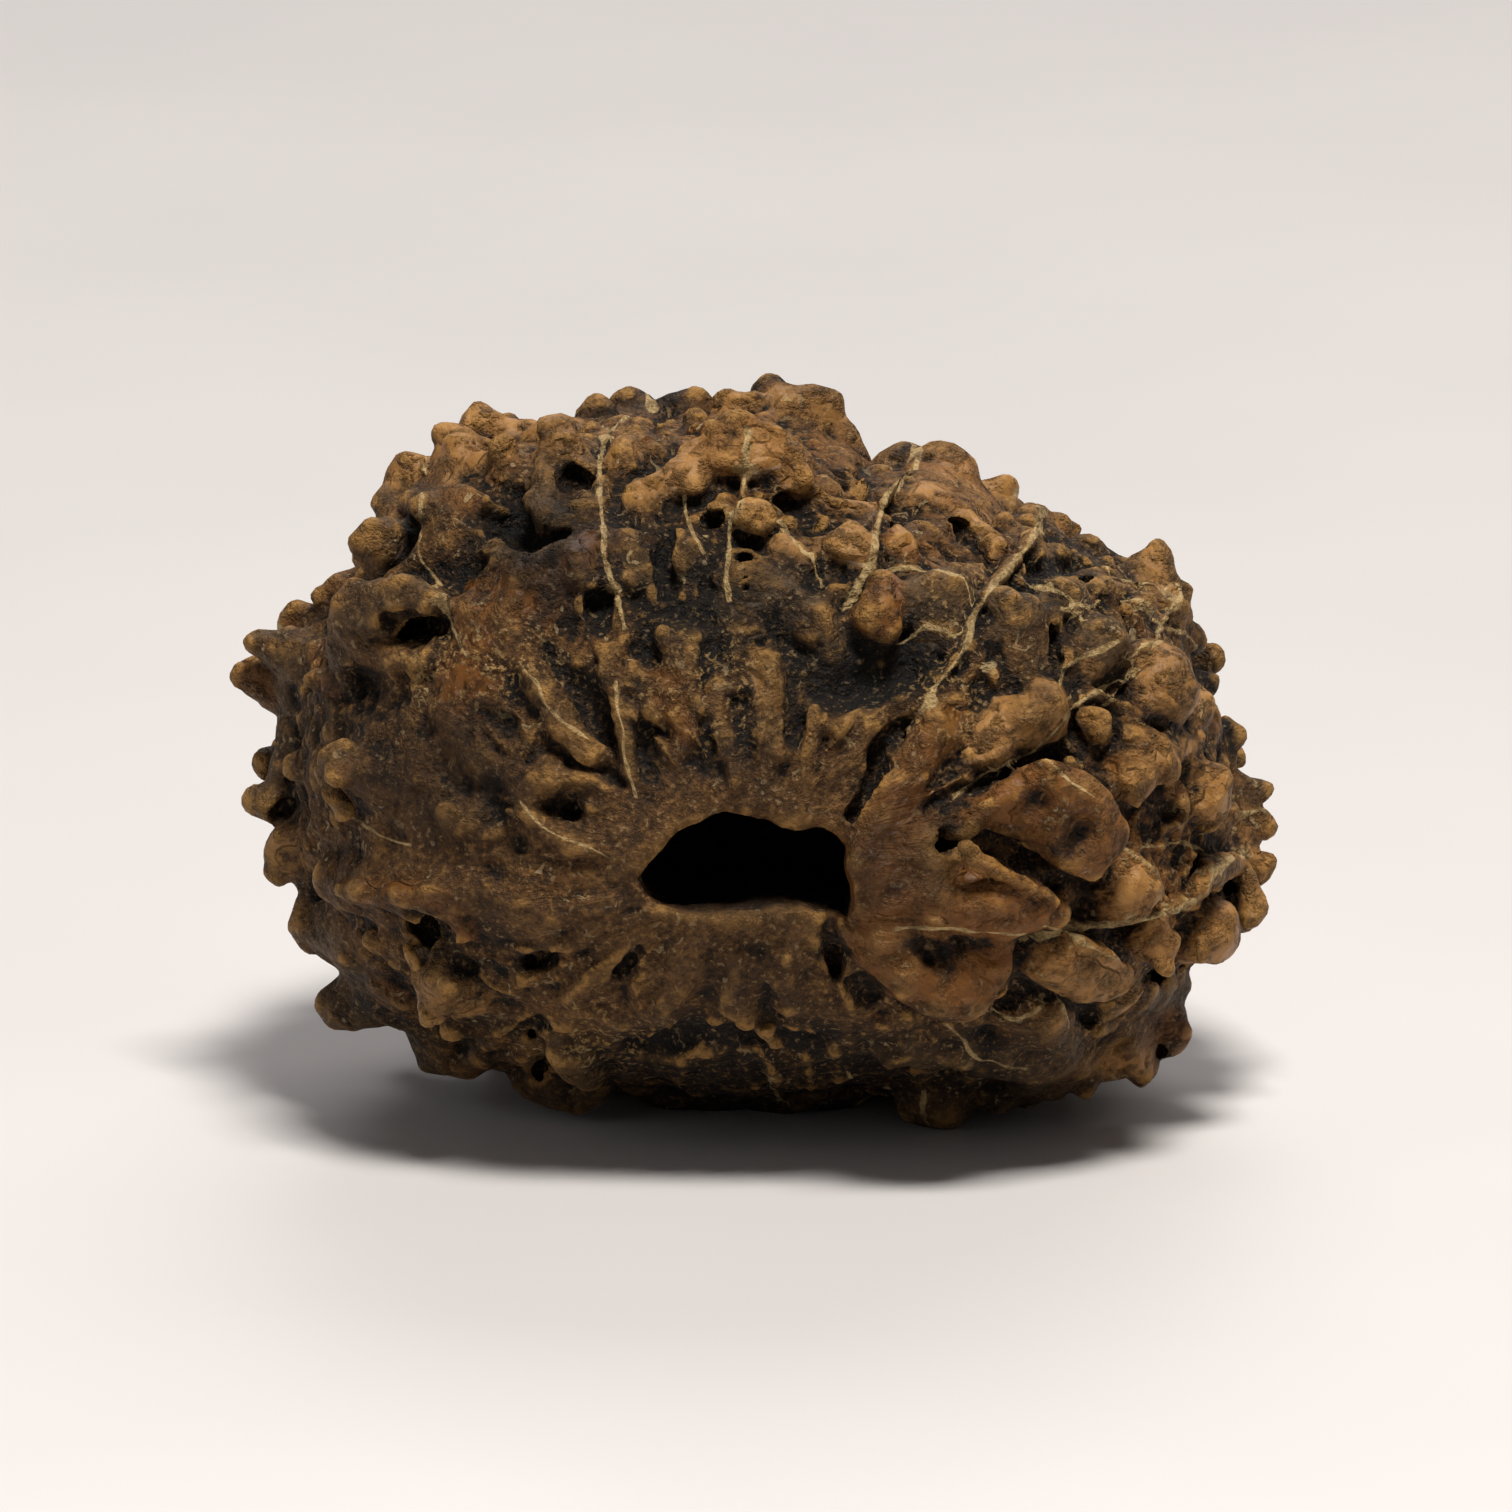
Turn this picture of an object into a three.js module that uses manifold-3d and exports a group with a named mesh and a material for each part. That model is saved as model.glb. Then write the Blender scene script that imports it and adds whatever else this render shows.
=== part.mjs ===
// Rudraksha bead: the stone of an Elaeocarpus fruit, dried and pierced for stringing.
// One grown piece: a broad oval body, wider than it is high, covered in warty knobs and hollows
// between the seams of its faces, with a wide ragged mouth in front, a narrower bore through to
// the back, and a small flat spot below on which it lies.
// Millimetres, +Z up. X is the bead's width, the stringing hole runs along Y with its wide mouth
// at -Y, and the origin is the middle of the footprint of its box, on the surface it rests on.

import * as THREE from "three";
import { mergeVertices } from "three/addons/utils/BufferGeometryUtils.js";
import Module from "manifold-3d";

// ---- driving dimensions (mm, degrees) ----
const OUTLINE = [14.44, 13.75, 13.25, 12.19, 11.16, 10.31, 9.94, 9.44, 9.88, 10.25, 10.50, 10.94, 11.56, 12.56, 13.19, 13.50, 13.75, 14.31, 14.44, 14.31, 14.12, 14.00, 13.38, 12.44, 11.69, 10.94, 10.78, 10.69, 10.69, 11.00, 11.94, 13.06, 14.06, 14.50, 14.81, 14.81]; // half-widths of the bare body every 10 degrees, counter-clockwise from +X
const HALF_DEPTH = 12.03; // bare body, from its middle to its front
const SQUARENESS = 2.3; // 2 is an ellipsoid, more is boxier
const LEAN = 15; // the body's outline plane leans back by this angle
const FLAT_SPOT = -11.062; // height of the flat spot, from the body's middle
const FACETS = 9; // splits along each edge of the starting icosahedron
const GROUND = 0.3; // the ground between the knobs, filled this far above the bare body
const KNOB_FOOT = 1.7; // a knob's foot is this much wider than its tip
const KNOB_FOOT_MORE = 0.2;
const KNOB_RISE = 1.0; // share of the tip's radius that stands above the tip's centre

// The mouth of the stringing hole, X and Z, and its channel.
const MOUTH = [
  [-3.56, -0.85], [-3.38, -0.42], [-3.00, -0.00], [-2.69, 0.42], [-2.41, 0.66], [-1.84, 0.78], [-1.34, 1.03],
  [-0.91, 1.12], [-0.31, 1.03], [0.25, 0.94], [0.69, 0.66], [1.25, 0.63], [1.78, 0.72], [2.34, 0.51],
  [2.62, 0.15], [2.56, -0.42], [2.81, -0.97], [2.84, -1.54], [2.62, -1.87], [1.84, -1.60], [1.25, -1.30],
  [0.12, -1.33], [-0.59, -1.39], [-1.19, -1.45], [-1.84, -1.45], [-2.47, -1.15], [-3.12, -1.03], [-3.53, -0.94],
];
const MOUTH_DEPTH = 5.0; // how far the mouth keeps its full outline
const MOUTH_FRONT = -15.0; // Y where the cut starts, clear of the knobs
const CHANNEL_X = -0.35;
const CHANNEL_Z = -0.25;
const CHANNEL_RADIUS = 1.25; // bore from the mouth to the back
const BACK_MOUTH_RADIUS = 1.7;
const BACK_MOUTH_DEPTH = 1.6;

// The seams between the faces, as angles about the hole's axis, counter-clockwise from +X.
const SEAMS = [-8, 20.6, 39.3, 61, 91, 108, 138.5, 166, 186, 212, 236, 256, 272, 288, 310, 331];
const BACK_ROWS = [88, 74, 61, 48.5, 37]; // degrees from the back pole
const BACK_PITCH = 2.44; // spacing of the knobs along a row
const BACK_LIMIT = -2.97; // the rows stop here, where the listed knobs begin

// Knobs and ridges of the front and the rim: X, Y, Z of the tip's centre, and its radius.
const KNOBS = [
  [-14.6, 0.4, 3.1, 0.75], [-15.6, 0.7, 3.4, 0.41], [-14.3, 0.2, 3.3, 0.38], [-15.5, 0.6, 3.4, 0.28],
  [-14.3, 1.4, 1.7, 1.06], [-15.5, 1.5, 2.0, 0.62], [-16.0, 1.5, 2.1, 0.34], [-15.1, 0.2, 2.0, 0.44],
  [-15.0, -0.0, 1.1, 0.38], [-15.1, -0.2, 0.0, 0.34], [-15.6, -0.3, -1.4, 0.28], [-14.0, 1.8, -0.7, 1.06],
  [-15.3, 1.7, -0.8, 0.50], [-14.3, 0.2, -1.6, 0.94], [-15.7, 0.2, -1.6, 0.41], [-14.6, -1.4, -2.7, 0.81],
  [-14.8, -1.4, -3.1, 0.56], [-11.7, -3.2, -4.8, 2.00], [-13.6, -2.0, -4.9, 0.94], [-11.2, -2.5, -6.8, 1.31],
  [-12.7, -1.7, -7.5, 0.81], [-13.1, -1.6, -7.7, 0.62], [-11.2, -3.0, -7.4, 0.69], [-9.5, -2.2, -8.3, 1.38],
  [-10.2, -1.8, -9.1, 0.78], [-9.0, -2.9, -8.5, 1.12], [-9.5, -3.0, -8.8, 0.69], [-6.8, -2.9, -9.6, 0.88],
  [-5.4, -3.3, -9.7, 0.75], [1.9, -1.3, -9.6, 1.62], [5.6, -3.5, -10.0, 1.19], [7.6, -3.5, -10.0, 0.59],
  [9.1, -3.9, -9.7, 0.50], [9.2, -3.9, -9.9, 0.34], [10.2, -4.0, -9.7, 0.38], [10.8, -3.5, -8.3, 1.19],
  [12.0, -3.1, -9.3, 0.41], [11.2, -2.6, -7.4, 1.69], [12.6, -2.0, -8.0, 0.94], [12.8, -2.0, -8.4, 0.81],
  [13.7, -0.6, -4.7, 1.69], [14.9, -0.1, -5.0, 0.75], [14.5, 0.6, -3.7, 1.19], [15.6, 0.6, -3.8, 0.50],
  [14.5, 1.5, -2.9, 1.19], [15.6, 1.5, -2.8, 0.47], [14.5, 2.0, -2.0, 1.19], [15.6, 2.1, -1.7, 0.50],
  [14.7, 2.0, 0.1, 0.47], [14.0, 2.3, 1.5, 0.56], [13.3, 2.4, 3.0, 0.66], [12.2, 1.5, 4.4, 1.31],
  [12.3, 2.0, 5.7, 0.56], [12.6, 1.5, 4.3, 1.12], [13.1, 1.7, 4.8, 0.44], [11.0, 2.7, 5.3, 0.47],
  [10.2, 2.7, 5.8, 0.53], [8.9, 2.3, 6.8, 0.44], [5.8, 2.7, 8.2, 1.00], [4.5, 3.8, 8.2, 0.69], [0.8, 2.4, 8.9, 2.00],
  [1.2, 3.0, 9.9, 1.25], [1.7, 2.9, 10.0, 0.88], [2.1, 2.3, 8.6, 1.25], [2.5, 2.6, 9.1, 0.62], [0.2, 4.0, 9.1, 1.38],
  [0.4, 4.4, 10.2, 0.69], [-2.4, 3.7, 8.9, 1.56], [-2.5, 4.0, 9.9, 0.84], [-3.8, 4.0, 9.1, 1.25],
  [-3.9, 4.4, 10.2, 0.53], [-5.0, 3.1, 10.0, 0.62], [-6.5, 2.2, 9.8, 0.62], [-6.6, 2.3, 10.0, 0.53],
  [-7.9, 3.6, 8.6, 1.25], [-8.6, 4.2, 9.6, 0.47], [-7.6, 3.4, 8.9, 0.94], [-7.4, 3.5, 9.5, 0.50],
  [-9.5, 1.7, 9.5, 0.62], [-9.6, 1.8, 9.7, 0.53], [-10.8, 3.2, 8.3, 0.66], [-11.2, 3.1, 8.0, 0.56],
  [-11.7, 2.3, 7.3, 0.53], [-13.0, 1.3, 5.0, 0.53], [-13.2, 1.2, 4.6, 0.44], [-14.4, 2.0, 3.7, 0.56],
  [-9.0, -8.3, 5.9, 1.44], [-7.4, -8.9, 7.4, 0.94], [-5.7, -9.0, 8.5, 0.81], [-4.9, -8.4, 8.8, 0.56],
  [-8.7, -8.9, 5.7, 0.81], [-7.6, -9.1, 6.9, 0.62], [-12.7, -5.6, 4.3, 0.50], [-12.9, -5.4, 5.1, 0.41],
  [-12.7, -5.6, 6.0, 0.41], [-12.1, -6.2, 6.7, 0.44], [-11.3, -7.0, 7.2, 0.50], [-10.4, -7.7, 7.4, 0.47],
  [-10.0, -7.8, 6.9, 0.31], [-12.0, -6.8, 5.1, 0.50], [-11.2, -7.7, 5.2, 0.47], [-10.1, -8.3, 5.5, 0.44],
  [-11.0, -3.6, 7.6, 1.00], [-11.7, -4.0, 8.0, 0.81], [-11.9, -3.9, 8.1, 0.62], [-10.4, -2.0, 8.8, 0.56],
  [-10.2, -4.4, 9.1, 0.44], [-9.5, -5.2, 8.3, 0.94], [-9.6, -4.4, 9.4, 0.81], [-9.4, -3.2, 10.1, 0.81],
  [-8.7, -3.5, 9.8, 0.56], [-8.5, -3.9, 10.2, 0.38], [-7.8, -3.2, 9.8, 0.81], [-7.8, -3.9, 10.5, 0.59],
  [-6.7, -3.8, 11.7, 0.47], [-6.8, -5.3, 11.1, 0.38], [-6.7, -6.3, 10.2, 0.34], [-6.6, -6.6, 9.3, 0.34],
  [-6.2, -4.9, 11.0, 0.38], [-5.2, -4.5, 11.0, 0.31], [-4.9, -4.4, 10.6, 0.25], [-7.4, -9.6, 6.3, 0.28],
  [-6.7, -10.7, 5.0, 0.28], [-5.8, -11.1, 4.0, 0.25], [-4.7, -10.4, 5.8, 0.28], [-4.4, -11.2, 4.7, 0.28],
  [-4.1, -11.6, 3.6, 0.25], [-4.0, -11.8, 2.6, 0.22], [-3.7, -11.1, 5.0, 0.38], [-3.4, -11.4, 4.2, 0.34],
  [-2.9, -11.1, 5.0, 0.56], [-2.4, -11.6, 3.9, 0.56], [-2.1, -11.8, 2.5, 0.44], [-2.8, -10.8, 6.7, 0.28],
  [-2.6, -11.1, 5.9, 0.25], [-2.1, -11.3, 5.2, 0.25], [-1.1, -11.6, 4.2, 0.19], [-0.9, -11.8, 3.5, 0.19],
  [-0.3, -11.3, 5.1, 0.25], [0.2, -11.2, 5.8, 0.31], [0.3, -11.6, 4.9, 0.28], [0.5, -11.8, 3.8, 0.25],
  [2.1, -11.3, 5.0, 0.22], [1.7, -11.7, 4.1, 0.22], [1.5, -11.9, 3.2, 0.22], [2.9, -11.5, 4.2, 0.75],
  [2.9, -11.7, 3.1, 0.75], [2.6, -11.8, 2.0, 0.62], [0.5, -9.9, 7.6, 0.62], [1.3, -9.9, 7.2, 0.56],
  [2.1, -10.2, 6.9, 0.56], [-0.4, -9.5, 7.9, 0.81], [-0.6, -10.1, 7.1, 0.69], [-4.0, -8.8, 8.6, 0.56],
  [-3.7, -9.7, 7.6, 0.50], [2.5, -12.5, -1.4, 0.38], [2.8, -12.8, -0.2, 0.38], [3.2, -12.8, 0.9, 0.44],
  [3.8, -12.5, 1.9, 0.44], [4.4, -12.0, 2.9, 0.44], [5.1, -11.3, 3.8, 0.41], [5.5, -10.7, 4.8, 0.34],
  [3.8, -12.5, 0.2, 0.81], [4.6, -12.2, 1.8, 0.69], [5.4, -11.5, 2.9, 0.62], [4.0, -12.6, -1.7, 1.06],
  [5.2, -12.3, -1.1, 0.94], [6.4, -11.9, 1.1, 0.34], [7.3, -11.9, 1.5, 0.41], [8.1, -11.8, 2.1, 0.47],
  [8.8, -11.6, 2.4, 0.53], [9.5, -11.4, 1.9, 0.53], [10.2, -11.1, 1.1, 0.53], [10.6, -10.9, 0.3, 0.53],
  [10.4, -10.8, -0.6, 0.47], [8.8, -11.4, 1.2, 0.94], [9.8, -11.0, 0.2, 0.69], [6.5, -12.2, -1.1, 1.06],
  [7.7, -11.8, -1.7, 1.06], [9.0, -11.1, -1.8, 0.75], [6.4, -12.8, 0.6, 0.16], [6.6, -12.8, 0.1, 0.25],
  [7.3, -12.6, -0.3, 0.31], [8.1, -12.2, -0.8, 0.38], [9.0, -11.5, -1.4, 0.41], [3.8, -12.5, -2.5, 0.88],
  [4.9, -12.4, -3.3, 1.12], [6.2, -12.1, -4.2, 0.81], [7.1, -11.9, -3.6, 0.75], [5.8, -12.2, -4.4, 0.56],
  [6.6, -12.0, -4.6, 0.47], [7.2, -11.8, -4.3, 0.44], [8.8, -10.8, -3.6, 0.81], [9.9, -10.6, -4.0, 0.69],
  [10.8, -9.9, -4.6, 0.47], [11.1, -9.6, -4.9, 0.38], [10.3, -10.8, -3.2, 0.19], [10.9, -10.4, -3.8, 0.22],
  [11.2, -9.7, -4.6, 0.25], [10.9, -9.3, -2.2, 0.88], [11.6, -9.9, -1.6, 0.78], [12.1, -8.3, -3.4, 0.81],
  [12.6, -8.5, -4.0, 0.50], [12.6, -8.7, -4.3, 0.34], [13.5, -6.0, -3.7, 1.06], [14.2, -4.3, -4.9, 0.75],
  [13.7, -6.4, -2.5, 0.38], [14.1, -6.3, -2.1, 0.34], [14.8, -4.2, -2.4, 0.34], [15.2, -1.0, -3.8, 0.38],
  [15.4, -1.3, -4.7, 0.44], [12.2, -6.1, 3.5, 1.38], [12.5, -6.7, 4.1, 1.16], [13.4, -5.0, 2.7, 0.69],
  [13.6, -4.7, 2.8, 0.50], [12.2, -7.7, 1.8, 1.06], [11.9, -9.5, 1.5, 0.56], [11.8, -9.7, 1.3, 0.38],
  [12.7, -7.7, 2.0, 0.56], [13.1, -6.4, 2.1, 0.44], [13.3, -7.0, 0.9, 0.88], [13.9, -6.8, 0.6, 0.69],
  [10.4, -8.8, 2.7, 0.69], [10.5, -9.4, 3.4, 0.56], [7.2, -10.9, 3.8, 0.69], [8.1, -10.7, 3.7, 0.81],
  [8.8, -10.2, 4.4, 0.59], [9.0, -10.1, 4.5, 0.47], [7.2, -10.9, 3.0, 0.62], [8.5, -10.4, 3.1, 0.50],
  [8.1, -8.9, 5.6, 1.31], [7.8, -9.1, 6.8, 0.81], [7.7, -9.1, 7.2, 0.53], [10.4, -7.1, 5.1, 1.06],
  [10.6, -7.7, 5.7, 0.88], [9.4, -6.8, 6.5, 0.75], [9.3, -6.9, 6.8, 0.50], [11.9, -4.3, 5.6, 0.56],
  [12.1, -4.3, 5.8, 0.41], [5.5, -9.3, 6.8, 1.06], [5.8, -9.0, 7.5, 0.75], [4.9, -9.3, 7.5, 0.62],
  [3.7, -9.5, 7.1, 0.94], [3.6, -10.7, 6.8, 0.62], [4.8, -5.1, 9.1, 1.06], [5.8, -3.4, 8.8, 1.06],
  [6.3, -5.1, 8.3, 0.81], [4.3, -7.5, 8.4, 0.62], [4.3, -7.4, 8.8, 0.50], [7.5, -5.7, 8.1, 0.44],
  [2.8, -7.9, 8.3, 0.81], [2.8, -7.8, 8.8, 0.69], [1.7, -6.2, 10.1, 0.16], [2.2, -6.5, 9.8, 0.22],
  [2.9, -6.2, 9.6, 0.22], [3.4, -5.8, 9.4, 0.19], [-3.0, -6.4, 10.2, 0.25], [-2.1, -6.7, 10.4, 0.44],
  [-1.1, -7.1, 10.6, 0.50], [-0.6, -7.4, 10.2, 0.38], [-2.2, -4.0, 11.0, 0.31], [-1.7, -4.3, 11.5, 0.34],
  [-1.1, -4.6, 11.8, 0.38], [-0.4, -5.0, 11.7, 0.44], [0.4, -5.1, 11.5, 0.41], [1.0, -5.4, 11.0, 0.38],
  [1.2, -5.8, 10.4, 0.31], [-0.3, -5.7, 11.2, 0.62], [0.3, -5.5, 11.0, 0.62], [-0.1, -7.7, 9.7, 0.47],
  [-2.2, -7.2, 10.1, 0.12], [-2.1, -8.0, 9.4, 0.12], [-4.4, -4.6, 10.7, 0.44], [-3.9, -3.4, 10.9, 0.44],
  [-0.9, -1.2, 11.6, 0.38], [-0.2, 0.1, 11.3, 0.38], [-10.6, -8.9, 1.9, 1.38], [-12.1, -8.3, 1.8, 0.94],
  [-13.1, -7.9, 1.7, 0.56], [-13.5, -7.5, 1.6, 0.34], [-12.9, -7.7, 2.3, 0.25], [-13.4, -7.4, 1.8, 0.22],
  [-13.6, -7.2, 1.4, 0.19], [-13.3, -7.5, 0.8, 0.22], [-12.9, -7.4, 0.1, 0.22], [-13.7, -4.3, 0.6, 0.75],
  [-14.4, -3.8, 0.7, 0.44], [-12.7, -7.4, -2.5, 0.34], [-11.7, -8.9, -1.9, 0.47], [-10.2, -9.9, -1.6, 0.53],
  [-8.8, -10.6, -1.5, 0.56], [-9.0, -8.9, -5.2, 0.94], [-9.8, -9.5, -4.9, 0.69], [-10.1, -9.1, -5.5, 0.44],
  [-10.8, -8.5, -4.0, 0.12], [-10.6, -9.1, -4.5, 0.16], [-10.4, -9.0, -5.4, 0.19], [-10.3, -8.4, -6.2, 0.22],
  [-5.9, -9.2, -7.0, 0.62], [-5.2, -7.9, -8.1, 0.50], [-7.1, -11.1, 1.6, 0.22], [-7.1, -11.3, 1.1, 0.22],
  [-6.7, -11.5, 0.6, 0.22], [-5.9, -11.7, 0.3, 0.22], [-9.5, -10.1, 0.7, 0.44], [-9.0, -10.4, 0.6, 0.31],
  [-8.1, -11.0, -1.7, 0.44], [-6.2, -11.6, -1.6, 0.50], [-4.6, -11.9, -1.5, 0.50], [0.3, -10.8, -5.7, 0.19],
  [9.2, -9.7, -5.2, 0.19], [9.6, -9.0, -6.1, 0.22], [10.0, -6.6, -8.1, 0.25], [10.2, -2.7, -9.9, 0.25],
  [4.6, -9.8, -6.5, 0.94], [6.0, -9.4, -6.7, 0.88],
  [5.7, -3.9, -10.6, 1.00], [-1.6, -2.2, -9.6, 1.60],
];

const wasm = await Module();
wasm.setup();

// ---- body ----
const sinLean = Math.sin(THREE.MathUtils.degToRad(LEAN));
const cosLean = Math.cos(THREE.MathUtils.degToRad(LEAN));

// Outline radius at an angle, a smooth closed curve through OUTLINE.
function outlineAt(angle) {
  const n = OUTLINE.length;
  const x = ((angle / (2 * Math.PI)) * n + 2 * n) % n;
  const i = Math.floor(x);
  const f = x - i;
  const [a, b, c, d] = [-1, 0, 1, 2].map((k) => OUTLINE[(i + k + n) % n]);
  return b + 0.5 * f * (c - a + f * (2 * a - 5 * b + 4 * c - d + f * (3 * (b - c) + d - a)));
}

// Distance from the middle to the bare body's surface along a direction.
function bodyReach(x, y, z) {
  const up = y * sinLean + z * cosLean;
  const front = -y * cosLean + z * sinLean;
  const across = Math.hypot(x, up) / outlineAt(Math.atan2(up, x));
  const along = Math.abs(front) / HALF_DEPTH;
  return Math.pow(across ** SQUARENESS + along ** SQUARENESS, -1 / SQUARENESS);
}

// Knobs of the back: staggered rows in each face, between its two seams.
function backKnobs() {
  let state = 20251;
  const next = () => (state = (Math.imul(1664525, state) + 1013904223) >>> 0) / 4294967296;
  const rad = THREE.MathUtils.degToRad;
  const list = [];
  SEAMS.forEach((from, i) => {
    const to = i + 1 < SEAMS.length ? SEAMS[i + 1] : SEAMS[0] + 360;
    BACK_ROWS.forEach((row, r) => {
      const arc = rad(to - from) * 13.125 * Math.sin(rad(row));
      const count = Math.max(1, Math.round(arc / BACK_PITCH));
      for (let j = 0; j < count; j++) {
        const [j1, j2, j3, j4, j5, j6] = [next(), next(), next(), next(), next(), next()];
        const shift = (r % 2 ? 0.22 : -0.22) * (count === 1 ? 0.5 : 1);
        const az = rad(from + ((j + 0.5 + shift * 0.6 + (j1 - 0.5) * 0.28) * (to - from)) / count);
        const be = rad(row + (j2 - 0.5) * 7);
        const dir = (a, b) => [Math.sin(b) * Math.cos(a), Math.cos(b), Math.sin(b) * Math.sin(a)];
        const foot = dir(az, be);
        const reach = bodyReach(...foot);
        const front = (-foot[1] * cosLean + foot[2] * sinLean) * reach;
        if (front > BACK_LIMIT) continue;
        const tip = dir(az + (j4 - 0.5) * 0.09, be + (j5 - 0.5) * 0.09);
        const high = bodyReach(...tip) + (12 + 24 * j3) / 32;
        list.push([tip[0] * high, tip[1] * high, tip[2] * high, (12 + 9 * j1) / 32, (27 + 11 * j6) / 32]);
      }
    });
  });
  return list;
}

const bumps = [...KNOBS, ...backKnobs()].map(([x, y, z, r, foot]) => {
  const reach = Math.hypot(x, y, z);
  const width = foot ? foot : r * KNOB_FOOT + KNOB_FOOT_MORE;
  return { dir: new THREE.Vector3(x, y, z).divideScalar(reach), top: reach + r * KNOB_RISE, cone: Math.atan(width / reach) };
});
function beadSurface() {
  const ball = new THREE.IcosahedronGeometry(1, FACETS);
  ball.deleteAttribute("normal");
  ball.deleteAttribute("uv");
  const skin = mergeVertices(ball, 1e-5);
  const at = skin.getAttribute("position");
  const d = new THREE.Vector3();
  for (let i = 0; i < at.count; i++) {
    d.fromBufferAttribute(at, i).normalize();
    const bare = bodyReach(d.x, d.y, d.z) + GROUND;
    let reach = bare;
    for (const b of bumps) {
      const off = Math.acos(Math.min(1, d.dot(b.dir))) / b.cone;
      if (off < 1) reach = Math.max(reach, bare + (b.top - bare) * (1 - off * off));
    }
    at.setXYZ(i, d.x * reach, d.y * reach, d.z * reach);
  }
  return skin;
}

// ---- solids ----
function solid(geometry) {
  const bare = geometry.clone();
  for (const name of Object.keys(bare.attributes)) if (name !== "position") bare.deleteAttribute(name);
  const merged = mergeVertices(bare, 1e-4);
  return new wasm.Manifold(
    new wasm.Mesh({
      numProp: 3,
      vertProperties: new Float32Array(merged.getAttribute("position").array),
      triVerts: new Uint32Array(merged.index.array),
    }),
  );
}

function geometryOf(manifold) {
  const mesh = manifold.getMesh();
  const g = new THREE.BufferGeometry();
  g.setAttribute("position", new THREE.BufferAttribute(new Float32Array(mesh.vertProperties), 3));
  g.setIndex(new THREE.BufferAttribute(new Uint32Array(mesh.triVerts), 1));
  return g;
}

// Mouth: the ragged outline, drawn in X and Z and pushed in along +Y.
const mouthShape = new THREE.Shape(MOUTH.map(([x, z]) => new THREE.Vector2(x, z)));
const mouth = new THREE.ExtrudeGeometry(mouthShape, { depth: MOUTH_DEPTH, bevelEnabled: false });
mouth.rotateX(Math.PI / 2); // depth now runs along -Y
mouth.translate(0, MOUTH_FRONT + MOUTH_DEPTH, 0);

// Bore to the back, flaring a little at the far end.
const boreStart = MOUTH_FRONT + MOUTH_DEPTH - 0.5;
const boreEnd = 16;
const bore = new THREE.CylinderGeometry(CHANNEL_RADIUS, CHANNEL_RADIUS, boreEnd - boreStart, 20);
bore.translate(0, (boreStart + boreEnd) / 2, 0);
bore.translate(CHANNEL_X, 0, CHANNEL_Z);
const backFace = bodyReach(0, 1, 0);
const flare = new THREE.CylinderGeometry(BACK_MOUTH_RADIUS, CHANNEL_RADIUS, BACK_MOUTH_DEPTH, 20);
flare.translate(CHANNEL_X, backFace - BACK_MOUTH_DEPTH / 2 + 0.1, CHANNEL_Z);

// Everything below the flat spot.
const below = new THREE.BoxGeometry(60, 60, 10);
below.translate(0, 0, FLAT_SPOT - 5);

const channel = solid(mouth).add(solid(bore)).add(solid(flare));
const bead = geometryOf(solid(beadSurface()).subtract(channel).subtract(solid(below)));

// Origin at the middle of the box's footprint, on the flat spot.
bead.computeBoundingBox();
const { min, max } = bead.boundingBox;
bead.translate(-(min.x + max.x) / 2, -(min.y + max.y) / 2, -min.z);
bead.computeVertexNormals();

const shell = new THREE.MeshStandardMaterial({ color: 0x5a412a, roughness: 0.6, metalness: 0 });
const rudraksha = new THREE.Mesh(bead, shell);
rudraksha.name = "rudraksha_bead";

const root = new THREE.Group();
root.add(rudraksha);

export default root;
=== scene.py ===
import math

import bpy
import numpy as np
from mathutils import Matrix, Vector


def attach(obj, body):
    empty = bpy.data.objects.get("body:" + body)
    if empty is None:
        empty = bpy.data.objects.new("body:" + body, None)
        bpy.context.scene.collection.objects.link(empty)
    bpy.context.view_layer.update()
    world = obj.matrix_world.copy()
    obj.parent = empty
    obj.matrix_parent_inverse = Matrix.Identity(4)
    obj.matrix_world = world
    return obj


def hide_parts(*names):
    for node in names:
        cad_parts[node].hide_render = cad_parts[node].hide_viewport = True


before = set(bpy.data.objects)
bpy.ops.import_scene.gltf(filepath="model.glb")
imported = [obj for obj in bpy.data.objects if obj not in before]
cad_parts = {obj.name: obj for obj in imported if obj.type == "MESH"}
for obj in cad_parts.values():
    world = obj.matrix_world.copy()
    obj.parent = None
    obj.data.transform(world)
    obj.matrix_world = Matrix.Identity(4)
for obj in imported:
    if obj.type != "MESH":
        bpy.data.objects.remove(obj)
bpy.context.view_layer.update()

# ---------------------------------------------------------------------------------------------------------------
# The bead is shaped in a frame that faces the camera: u to the right, v up, w towards the viewer, in steps of
# 1/32 mm, with its middle at CX, CY. The relief is a list of rounded tubes added to or carved from a body.
# ---------------------------------------------------------------------------------------------------------------
PX = 32.0                               # steps a millimetre
CX, CY = 758.0, 754.0                   # the bead's middle
TILT = math.radians(15.0)               # the camera looks down by this angle
EXPO = 2.3                              # boxiness of the body
DEPTH = 385.0                           # half depth of the bare body
FLOOR = -354.0                          # height of the flat spot below the middle
OFFSET = (-0.0812, 0.5980, 11.0620)     # from the bead's middle to the frame's origin, mm
STEP = 4.0                              # grid step of the relief
SINK = 0.75                             # a knob's centre lies this share of its radius below its height
TRIANGLES = 190000                      # of the finished mesh
SINT, COST = math.sin(TILT), math.cos(TILT)

# Half widths of the bare body every 10 degrees, counter-clockwise from the right.
OUTLINE = np.array([462, 440, 424, 390, 357, 330, 318, 302, 316, 328, 336, 350, 370, 402, 422, 432, 440, 458,
                    462, 458, 452, 448, 428, 398, 374, 350, 345, 342, 342, 352, 382, 418, 450, 464, 474, 474], float)
# The seams between the faces, as angles about the hole's axis.
FACES = [-8.0, 20.6, 39.3, 61.0, 91.0, 108.0, 138.5, 166.0, 186.0, 212.0, 236.0, 256.0, 272.0, 288.0, 310.0, 331.0]
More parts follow.
